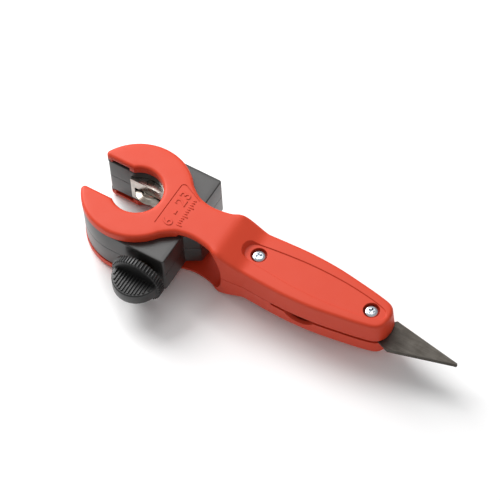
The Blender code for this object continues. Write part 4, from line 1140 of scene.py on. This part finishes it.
@dataclass
class Knob:
    """Black feed knob: a knurled disc with a ribbed half-disc paddle for the thumb."""

    sizes: Sizes
    radius: float = 16.5
    rear: float = 37.9
    face: float = 43.2
    ribs: int = 50
    rib_depth: float = 0.9
    paddle: float = 14.4
    paddle_centre: float = 42.0
    paddle_thickness: float = 9.7
    paddle_pitch: float = 1.95
    paddle_rib: float = 0.8

    def disc(self) -> bpy.types.Object:
        """Build the disc under the knurl, with its hub and a chamfer on both edges."""
        low = self.radius - self.rib_depth
        section = [(0.0, self.face), (low - 1.0, self.face), (low - 0.35, self.face - 0.12),
                   (low, self.face - 0.6), (low, self.rear + 0.6), (low - 0.35, self.rear + 0.12),
                   (low - 1.0, self.rear), (9.0, self.rear), (9.0, 35.7), (8.6, 35.3), (0.0, 35.3)]
        return turned(section, 128)

    def knurl(self, material: bpy.types.Material) -> bpy.types.Object:
        """Build the ribs round the disc.

        Args:
            material: Material of the ribs.

        Returns:
            All the ribs as one mesh.
        """
        width = math.pi * self.radius / self.ribs
        outline = [(-0.9, -width * 0.62), (self.rib_depth * 0.5, -width * 0.55),
                   (self.rib_depth, -width * 0.26), (self.rib_depth, width * 0.26),
                   (self.rib_depth * 0.5, width * 0.55), (-0.9, width * 0.62)]
        rib = round_edges(prism(outline, self.rear + 0.25, self.face - 0.25), 0.18, 2, 30)
        low = self.radius - self.rib_depth
        places = []
        for index in range(self.ribs):
            turn = 2 * math.pi * (index + 0.5) / self.ribs
            places.append(((low * math.cos(turn), low * math.sin(turn), 0), (0, 0, turn), (1, 1, 1)))
        return Repeater("knurl", rib, material).run(places)

    def half_disc(self) -> bpy.types.Object:
        """Build the smooth paddle, a half-disc with a rounded rim, lying across the disc."""
        half = self.paddle_thickness / 2 - self.paddle_rib
        outline = arc((0, 0), self.paddle, 0, 180, 64) + [(-self.paddle, -0.8), (self.paddle, -0.8)]
        paddle = round_edges(prism(outline, -half, half), 0.9, 5)
        paddle.data.transform(Matrix.Translation((0, self.paddle_centre, 0)))
        return paddle

    def paddle_ribs(self, material: bpy.types.Material) -> bpy.types.Object:
        """Build the ribs on both flats of the paddle, each as long as the half-disc is there.

        Args:
            material: Material of the ribs.

        Returns:
            All the ribs as one mesh.
        """
        half = self.paddle_thickness / 2
        width = self.paddle_pitch * 0.62
        section = [(-width / 2, -0.5), (width / 2, -0.5), (width * 0.34, self.paddle_rib * 0.75),
                   (width * 0.16, self.paddle_rib), (-width * 0.16, self.paddle_rib),
                   (-width * 0.34, self.paddle_rib * 0.75)]
        rib = prism(section, 0.0, 1.0)
        rib.data.transform(Matrix.Rotation(-math.pi / 2, 4, "X") @ Matrix.Scale(-1, 4, (0, 1, 0)))
        rib.data.flip_normals()
        count = int(self.paddle / self.paddle_pitch)
        places = []
        edge = self.paddle - 1.5
        for index in range(-count, count + 1):
            x = index * self.paddle_pitch
            if abs(x) > edge - 1.2:
                continue
            length = math.sqrt(edge ** 2 - x ** 2) - 0.2
            for side in (1, -1):
                turn = (0, 0, 0) if side > 0 else (0, math.pi, 0)
                places.append(((x, self.paddle_centre + 0.4, side * (half - self.paddle_rib)), turn,
                               (1, length, 1)))
        return Repeater("paddle_ribs", rib, material).run(places)

    def make(self, shop: Workshop) -> None:
        """Build the knob on the feed axis and dress the feed screw."""
        black = shop.finishes.get(KNOB_ABS)
        upright = join([self.half_disc(), self.paddle_ribs(black)])
        upright.data.transform(Matrix.Rotation(math.pi, 4, "X"))
        around = join([self.disc(), self.knurl(black)])
        around.data.transform(Matrix.Rotation(math.pi / 2, 4, "X"))
        knob = join([around, upright])
        knob.data.transform(Matrix.Translation((self.sizes.feed, 0, 0)))
        shop.finish(knob, "thumb_knob", "feed", [KNOB_ABS], ["knob"], 26)
        shop.dress(TURNED_STEEL, "feed_screw")


# ------------------------------------------------------------------ carriage and wheel

@dataclass
class Carriage:
    """Ground carriage with the hardened cutting wheel on its pin."""

    sizes: Sizes
    wheel: float = 9.2

    def make(self, shop: Workshop) -> None:
        """Build the wheel and dress the carriage and its pin."""
        hub, bore, shoulder = 2.0, 2.3, self.wheel - 3.0
        profile = [(bore, hub), (4.4, hub), (4.6, hub - 0.2), (4.6, hub * 0.6), (shoulder - 0.3, hub * 0.6),
                   (shoulder, hub * 0.57), (self.wheel, 0.06), (self.wheel, -0.06), (shoulder, -hub * 0.57),
                   (shoulder - 0.3, -hub * 0.6), (4.6, -hub * 0.6), (4.6, -hub + 0.2), (4.4, -hub),
                   (bore, -hub), (bore, hub)]
        wheel = turned(profile, 144)
        wheel.data.transform(Matrix.Translation((0, self.sizes.wheel_y, 0)))
        shop.finish(wheel, "hardened_wheel", "wheel", [WHEEL_STEEL], ["cutting_wheel"], 12)
        shop.dress(CARRIAGE_STEEL, "carriage")
        shop.dress(WHEEL_STEEL, "wheel_pin")


# ------------------------------------------------------------------ blade

@dataclass
class Blade:
    """Dark triangular deburring blade with a ground edge."""

    sizes: Sizes
    heel_x: float = 16.6
    heel_drop: float = 11.6
    shoulder_x: float = 12.4
    shoulder_rise: float = 8.4
    tip_round: float = 1.1
    low: float = -1.85
    thickness: float = 1.4
    grind: float = 1.5
    grind_depth: float = 0.75

    def make(self, shop: Workshop) -> None:
        """Build the blade, mark its ground edge and place it on its pivot."""
        length = self.sizes.blade_length
        tip = arc((length - self.tip_round, 0), self.tip_round, -107, 98, 8)
        tang = arc((0, 0), 8.0, 48, 306, 40)
        outline = [(10.6, -9.2), (self.heel_x, -self.heel_drop)]
        outline += tip + [(self.shoulder_x, self.shoulder_rise), (10.4, 6.4)] + tang
        blade = prism(outline, self.low, self.low + self.thickness)
        start = Vector((self.heel_x, -self.heel_drop))
        end = Vector((length - self.tip_round, -self.tip_round))
        along = (end - start).normalized()
        section = [(-self.grind, 0.4), (0.0, -self.grind_depth), (3.0, -self.grind_depth), (3.0, 3.0),
                   (-self.grind, 3.0)]
        wedge = prism(section, -4.0, (end - start).length + 6.0)
        side = Vector((along.y, -along.x))
        turn = Matrix(((side.x, 0, along.x, start.x), (side.y, 0, along.y, start.y),
                       (0, 1, 0, self.low + self.thickness), (0, 0, 0, 1)))
        wedge.data.transform(turn)
        bm = bmesh.new()
        bm.from_mesh(wedge.data)
        bmesh.ops.recalc_face_normals(bm, faces=bm.faces)
        bm.to_mesh(wedge.data)
        bm.free()
        combine(blade, [cut(wedge), cut(rod(3.9, (0, 0, -FAR), (0, 0, FAR), 48))])
        round_edges(blade, 0.12, 2, 50)
        blade.data.transform(Matrix.Translation((self.sizes.pivot, 0, 0)))
        piece = shop.finish(blade, "blade", "blade", [BLADE_STEEL, EDGE_STEEL], ["deburring_blade"], 20)
        outward = Vector((side.x, side.y, 0))
        for polygon in piece.data.polygons:
            normal = polygon.normal
            if normal.z > 0.3 and normal.dot(outward) > 0.2:
                polygon.material_index = 1


# ------------------------------------------------------------------ studio

@dataclass
class Studio:
    """Pale floor, soft lights and the camera."""

    place: tuple[float, float, float] = (0.42668, -0.64593, 1.28525)
    aim: tuple[float, float, float] = (-0.025289, 0.027185, 0.005695)
    roll: float = -3.47
    lens: float = 185.99

    def camera(self) -> None:
        """Put the camera at its place, turned by its roll about its own axis."""
        data = bpy.data.cameras.new("camera")
        data.lens = self.lens
        data.sensor_width = 36.0
        data.clip_end = 20.0
        camera = link_object("camera", data)
        look = (Vector(self.aim) - Vector(self.place)).to_track_quat("-Z", "Y")
        turn = look.to_matrix().to_4x4() @ Matrix.Rotation(math.radians(self.roll), 4, "Z")
        camera.matrix_world = Matrix.Translation(self.place) @ turn
        bpy.context.scene.camera = camera

    def lamp(self, name: str, place: Sequence[float], size: float, power: float, colour: str) -> None:
        """Add a square soft light aimed at the tool."""
        data = bpy.data.lights.new(name, "AREA")
        data.size = size
        data.energy = power
        data.color = srgb(colour)[:3]
        lamp = link_object(name, data)
        turn = (-Vector(place)).to_track_quat("-Z", "Y").to_matrix().to_4x4()
        lamp.matrix_world = Matrix.Translation(place) @ turn

    def make(self) -> None:
        """Build the floor, the lights, the surroundings and the camera."""
        bm = bmesh.new()
        bmesh.ops.create_grid(bm, x_segments=2, y_segments=2, size=6.0)
        floor = new_object("floor", bm)
        floor.location.z = -0.0004
        material = bpy.data.materials.new("white_paper")
        material.use_nodes = True
        shader = material.node_tree.nodes["Principled BSDF"]
        shader.inputs["Base Color"].default_value = srgb("#FAFAFA")
        shader.inputs["Roughness"].default_value = 0.9
        floor.data.materials.append(material)
        world = bpy.data.worlds.new("studio")
        world.use_nodes = True
        background = world.node_tree.nodes["Background"]
        background.inputs["Color"].default_value = (1.0, 1.0, 1.0, 1.0)
        background.inputs["Strength"].default_value = 0.46
        bpy.context.scene.world = world
        self.lamp("key", (-1.05, 0.4, 0.85), 0.8, 23.0, "#FFFFFF")
        self.lamp("top", (-0.4, 0.62, 1.35), 0.7, 4.6, "#FFFFFF")
        bpy.context.scene.view_settings.view_transform = "Standard"
        self.camera()


def main() -> None:
    """Build every sub-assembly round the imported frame."""
    logging.basicConfig(level=logging.INFO, format="%(message)s")
    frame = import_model()
    shop = Workshop(frame)
    sizes = Sizes()
    HandleShells(sizes).make(shop)
    Fasteners(sizes).make(shop)
    Head(sizes).make(shop)
    Knob(sizes).make(shop)
    Carriage(sizes).make(shop)
    Blade(sizes).make(shop)
    Studio().make()


if __name__ == "__main__":
    main()
